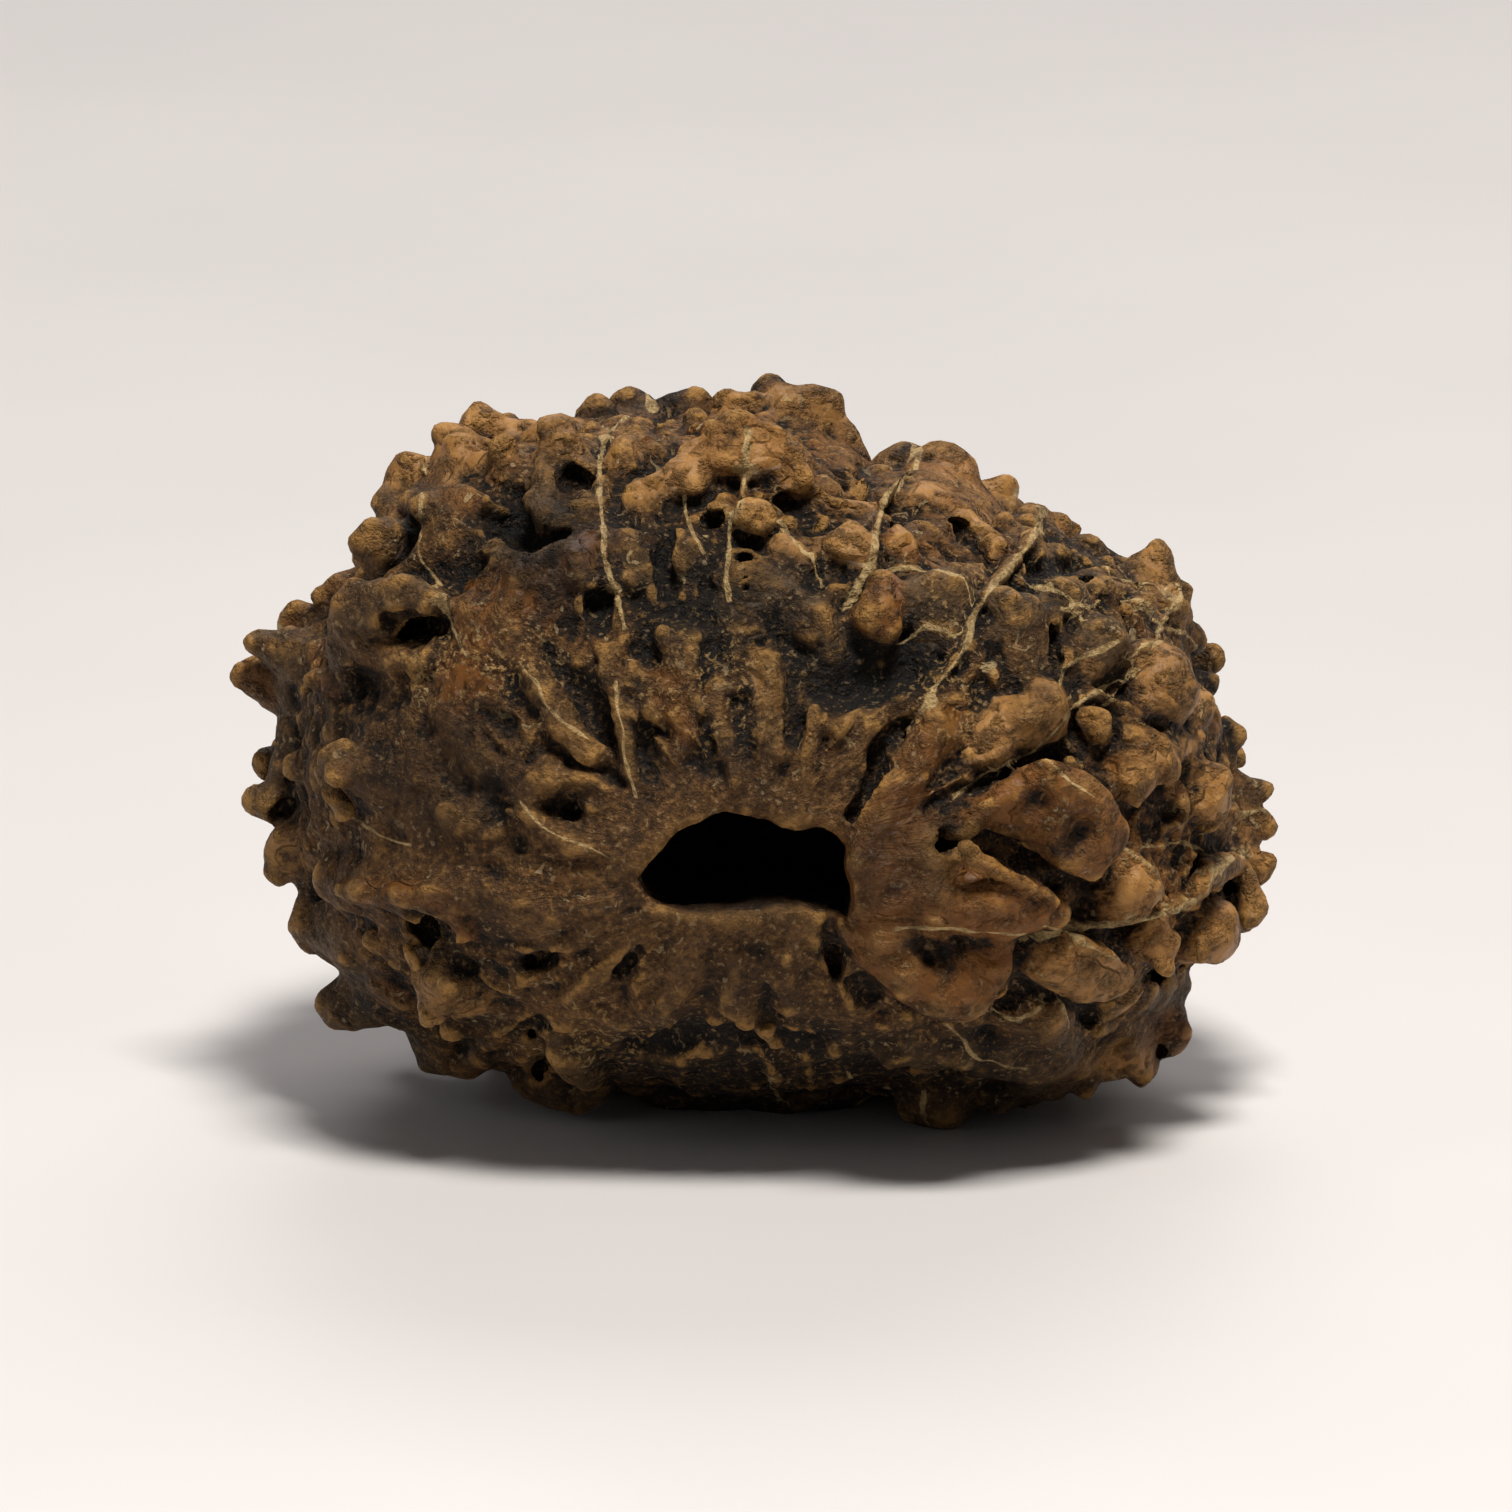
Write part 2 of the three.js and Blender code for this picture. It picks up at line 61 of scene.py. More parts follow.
# Rim of the stringing hole's mouth.
MOUTH = [(644, 879), (650, 865), (662, 851), (672, 837), (681, 829), (699, 825), (715, 817), (729, 814), (748, 817),
         (766, 820), (780, 829), (798, 830), (815, 827), (833, 834), (842, 846), (840, 865), (848, 883), (849, 902),
         (845, 917), (820, 911), (798, 906), (770, 907), (745, 909), (720, 912), (690, 911), (668, 906), (655, 897),
         (647, 887)]

# Broad shifts of tone on the near side: middle, half widths and amount (below 0 darker and greyer, above 0 warmer). The
# darkest, over the belt that the knobs above it shade, is painted shade.
ZONES = [(690, 590, 170, 85, -0.75), (860, 672, 80, 42, -0.9), (520, 545, 70, 55, -0.7), (1010, 890, 150, 150, 0.8),
         (1160, 790, 90, 170, 0.6), (760, 455, 120, 62, 0.7), (470, 465, 80, 70, 0.75), (930, 510, 90, 60, 0.7),
         (480, 840, 190, 150, 0.1), (720, 1065, 190, 60, -0.8), (940, 1065, 140, 60, -0.7), (410, 1015, 120, 60, -0.5),
         (1060, 570, 70, 50, -0.8), (940, 640, 70, 50, -0.7), (1215, 700, 45, 80, -0.8), (330, 720, 60, 40, -0.4),
         (560, 700, 60, 50, -0.3), (880, 850, 60, 90, 0.5), (1150, 1010, 80, 40, -0.2), (1180, 915, 80, 60, 0.9)]
# Places darkened all over to near black, partly soot-dark ground and partly painted shade, such as the belt that the
# knobs above it shade: middle, half widths and share.
SHADE_AND_SOOT = [(550, 545, 75, 60, 0.8), (700, 590, 130, 50, 0.45), (860, 672, 80, 36, 0.6), (450, 760, 100, 75, 0.66), (905, 850, 66, 66, 0.55),
        (730, 725, 130, 75, 0.33), (740, 908, 95, 14, 0.55), (465, 480, 55, 45, 0.22), (425, 884, 95, 28, 0.25), (310, 735, 60, 95, 0.15), (765, 965, 90, 45, 0.12)]
# Places that pale crumbs cling to: middle, half widths and share.
CRUMBS = [(470, 662, 84, 42, 0.9), (712, 690, 80, 62, 0.6), (940, 715, 38, 50, 0.9), (590, 1040, 60, 40, 0.6),
          (1130, 600, 60, 40, 0.6), (955, 585, 42, 30, 0.7), (1150, 885, 60, 24, 0.6)]

# One feature a line: + adds and - carves; A gives the height above the body, B that of a ball's centre and E the depth w;
# then a tint letter, the blend, and the nodes of the tube as x,y,height or depth,radius.
FEATURES = """
-A n 60 | 748,862,40,26
+E g 12 | 330,672,30,40 290,655,14,24 258,643,6,13
+E g 10 | 345,668,30,18 300,652,22,12 262,645,8,9
+E o 10 | 300,690,-30,34 262,681,-30,20 246,678,-30,11
+E n 10 | 322,725,-4,38
+E g 8 | 296,690,12,17 298,720,10,16 292,755,6,15 270,800,-4,11
+E d 8 | 310,760,-60,34 268,763,-60,16
+E g 8 | 300,802,-20,30 255,801,-20,13
+E t 12 | 350,850,40,46 292,850,20,26 284,862,16,18
+E g 14 | 385,930,60,64 322,922,20,30
+E g 10 | 400,985,20,44 354,1000,-10,31 346,1003,-14,27
+E g 8 | 420,1000,30,34 400,1008,30,22
+E g 10 | 455,1030,0,46 437,1046,-20,30
+E g 10 | 470,1040,20,36 455,1052,20,22
+E g 12 | 560,1040,20,54 540,1075,10,28 585,1082,20,24
+E d 14 | 690,1050,-40,56 760,1055,-50,58 820,1062,-40,52
+E d 14 | 690,1032,-116,60 760,1032,-116,63 820,1032,-116,60
+E g 10 | 935,1050,40,52 938,1092,24,38
+E g 7 | 1000,1055,30,30 1002,1092,24,19
+E g 8 | 1035,1030,60,50 1050,1085,40,16 1052,1092,38,11
+E g 7 | 1072,1030,60,34 1086,1086,44,12
+E t 8 | 1105,1040,40,38 1142,1068,20,13
+E o 10 | 1115,1005,20,54 1160,1018,-6,30 1166,1030,-8,26
+E g 10 | 1195,905,-20,54 1236,910,-40,24
+E t 8 | 1222,862,-50,38 1257,866,-50,16
+E t 8 | 1222,830,-70,38 1258,828,-70,15
+E g 8 | 1222,800,-80,38 1258,788,-80,16
+E d 8 | 1188,748,-60,38 1228,734,-60,15
+E d 8 | 1165,705,-60,38 1206,688,-60,18
+E d 10 | 1148,660,-50,42 1184,640,-50,21
+E t 8 | 1150,605,-10,42 1151,572,-16,26
+E t 8 | 1160,610,-10,36 1178,590,-14,14
+E d 8 | 1108,600,-40,34 1111,568,-40,15
+E d 8 | 1070,590,-30,42 1086,552,-36,17
+E t 8 | 1040,570,0,38 1043,526,-16,14
+E d 8 | 1010,555,-50,40 1012,520,-50,17
+E t 12 | 925,530,10,62 942,478,-16,32
+E d 10 | 900,505,-50,48 903,468,-50,22
+E t 12 | 785,460,0,64 795,425,-10,40 812,420,-8,28
+E t 10 | 825,470,0,40 838,452,-6,20
+E d 8 | 765,440,-50,44 772,402,-50,22
+E d 10 | 680,450,-40,50 677,414,-40,27
+E d 8 | 636,440,-50,40 632,402,-50,17
+E d 8 | 600,455,-10,40 598,418,-14,20
+E t 6 | 548,442,24,27 566,448,20,26 592,462,10,16
+E t 6 | 479,425,-40,20 500,432,-36,15 535,434,-30,15
+E t 8 | 462,505,50,44 455,446,26,21 449,441,24,17
+E t 8 | 440,510,-30,40 412,470,-30,21 400,482,-30,18
+E g 8 | 420,540,0,44 385,508,-10,17
+E o 8 | 385,620,20,40 343,590,0,17 334,600,0,14
+E o 8 | 345,650,-20,40 296,622,-30,18
+A o 12 | 478,690,8,34 500,640,16,40 530,592,18,34 575,565,16,26 600,552,8,18
-A d 10 | 515,525,-8,30 540,550,-8,26
-A d 8 | 560,545,2,17 535,575,0,17
+A g 8 | 362,652,22,32 376,616,38,34 410,600,42,28 432,604,34,17
-A d 5 | 396,628,24,17 418,630,20,17 440,632,14,14
-A d 5 | 400,628,-6,17 436,632,-6,15
+A n 8 | 380,656,13,15 404,662,13,14 435,658,10,14
-A d 9 | 358,690,2,22 366,702,0,18
+A g 6 | 405,552,8,32 388,545,32,27 378,540,40,20
-A d 5 | 398,556,34,15 394,550,44,9
+A g 6 | 425,500,10,18 432,510,26,14
+A t 6 | 468,508,6,33 462,476,26,29 457,454,36,18 455,446,38,13
+B t 6 | 482,470,6,16
+A n 8 | 462,550,6,28 462,520,10,28
+B t 4 | 508,460,8,18
-A d 6 | 505,490,4,19 514,502,0,17
-A d 6 | 508,496,-20,15
+A t 6 | 572,490,2,33 566,460,24,27 561,438,36,17 558,427,40,12
+A g 6 | 545,470,16,14 548,500,8,14 552,522,2,12
-A d 7 | 578,484,-4,20
-A d 6 | 574,486,-34,18 592,490,-34,14
-A d 7 | 603,602,-2,18 598,618,-2,15
-A d 12 | 556,662,6,16 585,702,2,21 604,732,-2,18
+A n 10 | 514,640,8,17 541,690,6,15 569,729,3,14 595,753,0,11
+A n 12 | 612,655,4,9 620,700,5,9 628,745,4,9 638,788,1,7
+A n 9 | 665,638,8,9 678,668,7,9 700,704,2,8
+A g 12 | 690,648,4,20
+A n 8 | 640,690,6,15 648,715,4,13
-A d 8 | 714,650,6,13 716,682,4,12
+A o 12 | 668,690,2,20 684,735,2,20
+A n 12 | 720,686,3,9 727,735,3,9 738,780,0,7
+A t 14 | 764,666,5,15 769,700,5,15 776,745,1,13
+A n 12 | 824,692,5,9 811,730,4,9 800,775,1,8
+A n 12 | 842,724,5,22 866,724,5,22 852,760,0,24
-A d 7 | 742,696,4,8 746,740,3,7
-A d 8 | 797,690,4,12 793,740,4,9
-A d 6 | 704,716,3,7 712,750,2,6
-A d 8 | 641,730,3,9 652,770,2,8
-A d 8 | 888,745,-2,9 872,785,-8,9 862,812,-10,8
-A d 14 | 796,640,8,24 806,672,8,20
-A d 14 | 830,690,8,22 870,680,4,25 912,664,6,22
-A d 8 | 840,688,-4,13 872,680,-10,14 905,668,-8,13
-A d 7 | 902,638,0,16 890,655,-4,15
+A g 9 | 775,600,10,24 800,618,8,22 825,628,8,20
+A g 10 | 745,590,4,28 740,625,4,24
+A n 8 | 628,548,10,17 633,580,10,17
-A d 6 | 672,538,2,11 662,562,0,12 668,592,0,12
-A d 6 | 745,566,2,10 745,592,2,9
+A o 12 | 850,880,16,22 868,835,22,24 892,800,22,24 920,765,16,22 940,725,12,18
+A o 14 | 895,880,18,44 920,850,16,36
-A d 7 | 884,772,4,10 868,795,0,13 856,815,0,11
+A o 8 | 968,820,14,12 995,798,26,18 1020,780,36,20 1040,774,42,18 1062,790,44,22 1085,813,44,24 1098,838,38,22 1088,860,28,18
+A o 10 | 1010,808,22,26 1045,808,34,38 1072,834,36,34
+A o 10 | 940,902,24,34 985,900,34,36 1025,906,32,28 1048,908,24,18
-A d 4 | 912,842,4,9 940,837,12,13 975,837,26,10 1010,844,24,13 1040,858,22,8 1058,872,20,6
-A d 4 | 915,842,-14,10 940,838,-10,13 975,838,2,11 1010,845,0,13 1040,858,4,9
-A d 4 | 935,840,-34,12 975,840,-26,13 1012,847,-26,12
+A o 4 | 964,845,42,4 972,860,44,6 995,871,44,7 1020,881,40,8 1048,894,32,9
-A d 10 | 1078,838,50,16 1062,856,44,13
+A o 12 | 880,940,20,30 915,965,28,38 955,980,34,36 985,962,30,32
-A d 5 | 912,941,30,8 930,951,22,10 946,961,30,7
+A t 10 | 1050,955,22,30 1080,965,32,30 1104,976,36,22
+A t 6 | 1080,944,30,7 1098,956,36,7 1114,971,37,8
+B t 6 | 1126,886,4,31
+A t 6 | 1143,932,26,27 1158,948,40,22 1160,960,44,14
+B t 5 | 1206,930,16,36
-A d 4 | 1188,936,36,9 1199,948,34,9 1184,952,28,9
+A t 8 | 1196,884,12,13 1210,871,16,13 1232,866,15,13 1246,882,10,13 1250,910,2,15
-A d 5 | 1222,890,4,10
+B t 6 | 1158,686,10,42
+B t 8 | 1190,708,2,21
-A d 5 | 1140,730,6,13 1160,735,6,11
+A t 10 | 1120,738,10,14 1150,760,22,28 1190,740,12,14
+B t 8 | 1130,785,4,23
+B t 8 | 1200,792,2,31
-A d 5 | 1150,795,2,10 1163,812,4,13 1180,818,8,10
+B t 6 | 1091,730,2,20
+A g 4 | 1077,702,6,5 1098,697,8,6 1120,710,6,6
-A d 5 | 1112,735,4,9
+A t 8 | 985,737,18,27 1010,726,20,30 1038,720,22,26
+B t 8 | 1041,699,4,20
+A g 10 | 1018,655,8,42 1010,622,30,30 1004,608,36,20
+B g 8 | 1096,648,0,32
+A g 6 | 1060,610,10,24 1055,600,18,16
+B g 6 | 1142,612,2,17
-A d 6 | 1047,636,4,11 1055,660,4,11
+A g 9 | 935,620,14,36 945,598,26,28 915,600,22,22
+A o 8 | 880,590,20,18 877,620,27,23
+A t 10 | 912,515,10,36 945,510,6,36 960,540,4,28
+B o 6 | 896,546,4,18
-A d 6 | 958,530,0,13 985,560,0,15
+B o 6 | 998,552,0,14
+B t 8 | 848,553,2,29
+A t 5 | 813,493,9,7 830,505,10,9 850,510,9,9 868,512,7,8
-A d 7 | 850,490,0,15
-A d 7 | 790,500,0,16 810,525,0,15
+A t 8 | 634,499,8,7 660,489,16,12 692,475,26,19 725,463,34,27 752,460,38,32 776,466,32,28
+A t 6 | 692,456,30,8 715,441,42,9 740,432,48,11 768,440,44,12 790,458,36,13 798,482,22,12
-A d 6 | 650,466,2,15 676,448,4,13
-A d 5 | 764,488,26,9 778,480,28,9 770,484,12,9
-A d 4 | 712,514,10,11 718,524,-4,12
+B t 4 | 754,520,8,18
+A t 6 | 618,462,14,14 634,444,14,14
+A t 6 | 728,408,19,14 752,407,17,14
-A d 6 | 735,420,10,7 755,424,8,7
+A n 8 | 420,775,0,44 375,772,20,30 346,768,34,19
+A g 6 | 350,748,28,8 332,758,34,7 326,772,34,7 334,790,30,8 345,812,20,8
-A o 4 | 340,766,48,9
+A g 7 | 320,770,-4,24 296,765,14,14
-A d 6 | 330,797,2,12
-A d 6 | 288,812,2,14
-E d 6 | 285,890,50,13 335,890,70,12
+A n 14 | 345,882,16,24 385,884,16,28 430,886,12,28 480,892,6,28 530,898,2,24
+A o 5 | 350,890,26,9 380,892,26,9 410,891,24,9 438,893,20,9 458,904,14,9 467,930,10,10
-A n 6 | 350,922,24,16 378,926,20,20 402,930,14,18
-A d 4 | 420,918,12,15 432,926,8,21 443,942,6,15
-A d 4 | 426,920,-12,19 437,931,-14,19
+A t 6 | 468,982,8,30 448,980,26,24 436,1002,34,16
+A t 4 | 411,948,12,5 419,968,22,6 424,995,28,7 428,1014,28,8
-A d 3 | 465,962,2,7 474,970,-2,8
-A d 5 | 527,966,2,12 540,957,0,13 554,955,2,9
-A d 4 | 532,962,-14,10 545,957,-12,9
-A n 8 | 548,974,4,14
-A d 5 | 613,976,2,8 623,965,0,10 637,950,2,7
-A d 4 | 618,970,-10,8 628,960,-10,8
-A d 4 | 526,1036,-6,14 541,1022,-6,11
-A d 4 | 530,1034,-26,12 540,1024,-26,10
-A d 5 | 540,1070,0,11 553,1057,0,9
+A g 8 | 570,1045,12,22 590,1070,12,18
-A n 12 | 562,806,12,26
+A n 10 | 531,782,6,12 531,808,8,9 541,828,8,8 562,840,7,7 592,844,2,7
+A n 12 | 548,776,6,18
-A d 6 | 566,806,4,14 578,813,0,13
-A d 4 | 574,812,-14,11
-A d 12 | 490,792,8,14 494,814,6,15
-A n 12 | 508,842,8,14
+A n 8 | 455,812,6,14 470,824,6,10
+A n 10 | 500,898,4,18 560,905,3,20 610,905,2,20
-A d 12 | 640,1052,4,20 700,1042,4,24 760,1040,6,22 815,1046,6,20
+A n 14 | 690,945,2,14 680,975,5,16 664,1008,6,16
+A n 14 | 735,960,1,13 738,1000,3,13
+A n 14 | 785,950,1,13 788,995,3,12
+A g 8 | 768,1022,3,6 778,1038,3,6
-A d 5 | 826,920,2,7 829,945,1,10 834,972,2,10
-A d 4 | 829,945,-14,8 833,968,-14,8
-A d 7 | 858,980,0,13 868,1000,2,13
-A d 6 | 1020,990,0,18 1008,1008,0,14
+A g 10 | 1000,1040,10,34 1040,1045,16,34 1030,1078,8,26
+A g 12 | 1032,1004,6,24 1056,1034,14,22 1080,1076,20,13
+A g 8 | 1135,990,8,22 1170,985,2,20
-A d 6 | 1146,1034,18,17 1156,1044,14,13
+A t 8 | 1112,1052,10,22 1140,1069,10,14
-A d 6 | 1085,1008,4,13 1100,1022,4,13
-A d 6 | 350,985,30,12
-A d 6 | 1150,972,-4,8 1175,968,-4,8
+A g 10 | 905,1035,8,32 950,1040,8,30
-A d 7 | 905,1068,2,15 870,1070,2,13
-A d 6 | 692,1070,-4,9
-A d 6 | 1060,540,0,18 1085,560,0,16 1045,570,0,14
-A d 6 | 1085,590,-6,10
-A d 6 | 1145,590,0,9
-A d 5 | 930,466,6,10
"""

# Pale seams: radius, then the points of the line.
SEAMS = """
2.3 | 428,452 423,490 424,530 424,561 438,589 449,612 461,638 466,648
2.7 | 630,413 627,416 615,428 606,446 602,467 601,490 602,513 604,536 608,559 613,580 618,597 622,620
2.5 | 747,440 745,462 742,490 738,513 732,532 729,559 728,596
3.6 | 922,448 913,467 901,475 885,495 878,513 875,541 871,568 857,589 841,612
4.4 | 1045,511 1034,529 1026,550 1005,573 987,591 975,612 968,628 961,647 945,672 931,693 924,708
2.3 | 1184,588 1167,617 1162,628 1155,640 1139,649 1125,659 1118,679 1098,691 1075,703 1054,728 1034,751 1000,766 975,779 957,797
2.0 | 910,926 941,927 992,930 1025,933
4.0 | 1025,933 1069,927 1109,923 1140,917 1168,908 1188,898
5.0 | 1183,901 1205,889 1213,877 1218,868 1230,858 1243,851
2.0 | 890,573 915,571 936,573 960,577 968,600
2.2 | 780,525 796,545 812,562 822,585
1.5 | 527,670 550,705 577,732
1.3 | 529,808 542,827 565,838 600,848
1.6 | 619,693 626,754 638,789
1.7 | 948,1026 965,1045 982,1060 1010,1068
1.9 | 1061,1001 1068,1022
1.7 | 768,1064 769,1084 780,1102
1.6 | 848,1061 852,1080
1.7 | 925,1096 925,1120
1.9 | 1110,645 1085,655 1062,665 1058,690
2.2 | 1162,628 1185,635 1200,650
2.2 | 1100,570 1120,580 1145,580 1165,595
2.2 | 1100,600 1080,610 1060,612
1.8 | 1140,845 1180,842 1205,850 1215,870
1.8 | 687,505 690,530 700,552
1.4 | 357,820 380,830 405,842
1.4 | 1050,762 1066,780 1085,792
1.4 | 1130,855 1150,870 1162,885
1.5 | 1108,700 1120,690 1128,668
1.7 | 1010,580 1040,592 1065,600 1075,620
1.7 | 1120,605 1150,600 1162,625
1.4 | 905,640 925,625 950,640
1.3 | 1050,925 1090,945 1120,960
1.3 | 985,1012 1020,1020 1045,1000
"""


def outline_at(phi):
    x = (np.asarray(phi) / (2 * np.pi) * 36.0) % 36.0
    i = np.floor(x).astype(int)
    f = x - i
    a, b, c, d = OUTLINE[(i - 1) % 36], OUTLINE[i % 36], OUTLINE[(i + 1) % 36], OUTLINE[(i + 2) % 36]
    return b + 0.5 * f * (c - a + f * (2 * a - 5 * b + 4 * c - d + f * (3 * (b - c) + d - a)))


def gauge(u, v, w):
    q = np.hypot(u, v) / outline_at(np.arctan2(v, u))
    return (q ** EXPO + (np.abs(w) / DEPTH) ** EXPO) ** (1 / EXPO)


def body_w(u, v, h=0.0):
    q = math.hypot(u, v) / (float(outline_at(math.atan2(v, u))) + h)
    return (DEPTH + h) * max(0.0, 1 - q ** EXPO) ** (1 / EXPO)


def to_cam(x, y, z):
    return x, y * SINT + z * COST, -y * COST + z * SINT


def to_obj(u, v, w):
    return u, v * SINT - w * COST, v * COST + w * SINT


class Dice:
    def __init__(self, seed):
        self.s = seed

    def __call__(self):
        self.s = (1664525 * self.s + 1013904223) & 0xFFFFFFFF
        return self.s / 4294967296.0


def parse_features(text):
    out = []
    for line in text.strip().splitlines():
        head, tail = line.split("|")
        kind, tint, k = head.split()
        nodes = []
        for n in tail.split():
            x, y, a, r = map(float, n.split(","))
            u, v = x - CX, CY - y
            if kind == "+A":
                a -= SINK * r
            nodes.append((u, v, a if kind[1] == "E" else body_w(u, v, a), r))
        out.append((kind[0], tint, float(k), np.array(nodes)))
    return out


def parse_seams(text):
    out = []
    for line in text.strip().splitlines():
        r, tail = line.split("|")
        pts = np.array([tuple(map(float, p.split(","))) for p in tail.split()])
        out.append((float(r), np.stack([pts[:, 0] - CX, CY - pts[:, 1]], 1)))
    return out


def on_body(az, be, h=0.0):
    d = to_cam(math.sin(be) * math.cos(az), math.cos(be), math.sin(be) * math.sin(az))
    t = 1.0 / float(gauge(*d)) + h
    return (d[0] * t, d[1] * t, d[2] * t)


def back_features():
    """Knobs in staggered rows on the faces that the camera does not see, with smaller ones and pits between."""
    dice = Dice(20251)
    out = []
    n = len(FACES)
    for i in range(n):
        a0 = FACES[i]
        a1 = FACES[(i + 1) % n] + (360.0 if i == n - 1 else 0.0)
        for row, beta in enumerate((88.0, 74.0, 61.0, 48.5, 37.0)):
            arc = math.radians(a1 - a0) * 420.0 * math.sin(math.radians(beta))
            m = max(1, round(arc / 78.0))
            for j in range(m):
                j1, j2, j3, j4, j5, j6 = dice(), dice(), dice(), dice(), dice(), dice()
                shift = (0.22 if row % 2 else -0.22) * (0.5 if m == 1 else 1.0)
                az = math.radians(a0 + (j + 0.5 + shift * 0.6 + (j1 - 0.5) * 0.28) * (a1 - a0) / m)
                be = math.radians(beta + (j2 - 0.5) * 7.0)
                base = on_body(az, be)
                if base[2] > -95.0:
                    continue
                h = 12.0 + 24.0 * j3
                tip = on_body(az + (j4 - 0.5) * 0.09, be + (j5 - 0.5) * 0.09, h)
                tint = "tgdo"[int(j4 * 3.999)]
                foot = on_body(az, be, -8.0)
                nodes = [(*foot, 27.0 + 11.0 * j6), (*tip, 12.0 + 9.0 * j1)]
                if j5 > 0.55:     # some are ridges that lean over to a second tip
                    nodes.append((*on_body(az + (j2 - 0.5) * 0.22, be - 0.10 - 0.06 * j1, h * 0.6), 11.0 + 6.0 * j6))
                out.append(("+", tint, 12.0, np.array(nodes)))
                if j2 < 0.62:     # a pit beside it
                    pit = on_body(az + (0.055 + 0.03 * j6) * (1 if j3 > 0.5 else -1), be + 0.07 * (j4 - 0.3), 2.0 - 8.0 * j5)
                    out.append(("-", "d", 7.0, np.array([(*pit, 8.0 + 9.0 * j4)])))
        for beta in (24.0, 16.5):     # low ribs that run in to the back of the hole
            j1, j2 = dice(), dice()
            az = math.radians((a0 + a1) / 2 + (j1 - 0.5) * 6)
            if dice() < 0.8:
                out.append(("+", "n", 10.0, np.array([(*on_body(az, math.radians(beta + 6), 2.0 + 8 * j2), 11.0 + 4 * j1),
                                                    (*on_body(az, math.radians(beta - 4), 1.0), 7.0)])))
    return out


# ---------------------------------------------------------------------------------------------------------------
# Relief on a grid
# ---------------------------------------------------------------------------------------------------------------
LOW = np.array([-572.0, -412.0, -452.0])
SHAPE = tuple(int(2 * -a / STEP) + 1 for a in LOW)
U = (LOW[0] + STEP * np.arange(SHAPE[0])).astype(np.float32)
V = (LOW[1] + STEP * np.arange(SHAPE[1])).astype(np.float32)
W = (LOW[2] + STEP * np.arange(SHAPE[2])).astype(np.float32)


def window(lo, hi):
    a = np.clip(np.floor((np.asarray(lo) - LOW) / STEP).astype(int), 0, np.array(SHAPE) - 1)
    b = np.clip(np.ceil((np.asarray(hi) - LOW) / STEP).astype(int) + 1, 1, np.array(SHAPE))
    return tuple(slice(int(i), int(j)) for i, j in zip(a, b))


def tube_distance(nodes, pu, pv, pw):
    """Distance to a chain of rounded cones."""
    best = None
    if len(nodes) == 1:
        u, v, w, r = nodes[0]
        return np.sqrt((pu - u) ** 2 + (pv - v) ** 2 + (pw - w) ** 2) - r
    for a, b in zip(nodes[:-1], nodes[1:]):
        e = b[:3] - a[:3]
        ee = max(float(e @ e), 1e-6)
        t = np.clip(((pu - a[0]) * e[0] + (pv - a[1]) * e[1] + (pw - a[2]) * e[2]) / ee, 0, 1)
        d = np.sqrt((pu - a[0] - t * e[0]) ** 2 + (pv - a[1] - t * e[1]) ** 2 + (pw - a[2] - t * e[2]) ** 2)
        d = d - (a[3] + t * (b[3] - a[3]))
        best = d if best is None else np.minimum(best, d)
    return best


def smooth_min(a, b, k):
    h = np.clip(0.5 + 0.5 * (b - a) / k, 0, 1)
    return b + (a - b) * h - k * h * (1 - h)


def spline_weights(at, size):
    """Cubic B-spline weights of evenly spaced controls for each grid line."""
    q = (at - at[0]) / size + 1.0
    i = np.floor(q).astype(int)
    f = q - i
    out = np.zeros((len(at), i.max() + 3), np.float32)
    row = np.arange(len(at))
    out[row, i - 1] = (1 - f) ** 3 / 6
    out[row, i] = (3 * f ** 3 - 6 * f ** 2 + 4) / 6
    out[row, i + 1] = (-3 * f ** 3 + 3 * f ** 2 + 3 * f + 1) / 6
    out[row, i + 2] = f ** 3 / 6
    return out


def grid_noise(size, seed):
    """Smooth noise on the whole grid, mostly within -1 to 1."""
    a, b, c = (spline_weights(x, size) for x in (U, V, W))
    knots = np.random.RandomState(seed).normal(0, 1.0, (a.shape[1], b.shape[1], c.shape[1])).astype(np.float32)
    return np.einsum("ai,ijk->ajk", a, np.einsum("bj,ijk->ibk", b, np.einsum("ck,ijk->ijc", c, knots, optimize=True), optimize=True), optimize=True) * 1.3


def apply(field, sign, nodes, k, warp=None):
    r = nodes[:, 3].max() + k + 2 * STEP + (12 if warp else 0)
    s = window(nodes[:, :3].min(0) - r, nodes[:, :3].max(0) + r)
    pu, pv, pw = U[s[0], None, None], V[None, s[1], None], W[None, None, s[2]]
    if warp:
        pu, pv, pw = pu + warp[0][s], pv + warp[1][s], pw + warp[2][s]
    d = tube_distance(nodes, pu, pv, pw)
    if sign == "+":
        field[s] = smooth_min(field[s], d, k)
    else:
        field[s] = -smooth_min(-field[s], d, k)


def polygon_distance(poly, x, y):
    d2 = np.full(x.shape, 1e12, np.float32)
    inside = np.zeros(x.shape, bool)
    for (ax, ay), (bx, by) in zip(poly, np.roll(poly, -1, 0)):
        ex, ey = bx - ax, by - ay
        t = np.clip(((x - ax) * ex + (y - ay) * ey) / (ex * ex + ey * ey), 0, 1)
        d2 = np.minimum(d2, (x - ax - t * ex) ** 2 + (y - ay - t * ey) ** 2)
        cross = ((ay > y) != (by > y)) & (x < (bx - ax) * (y - ay) / (by - ay + 1e-9) + ax)
        inside ^= cross
    return np.where(inside, -1, 1) * np.sqrt(d2)


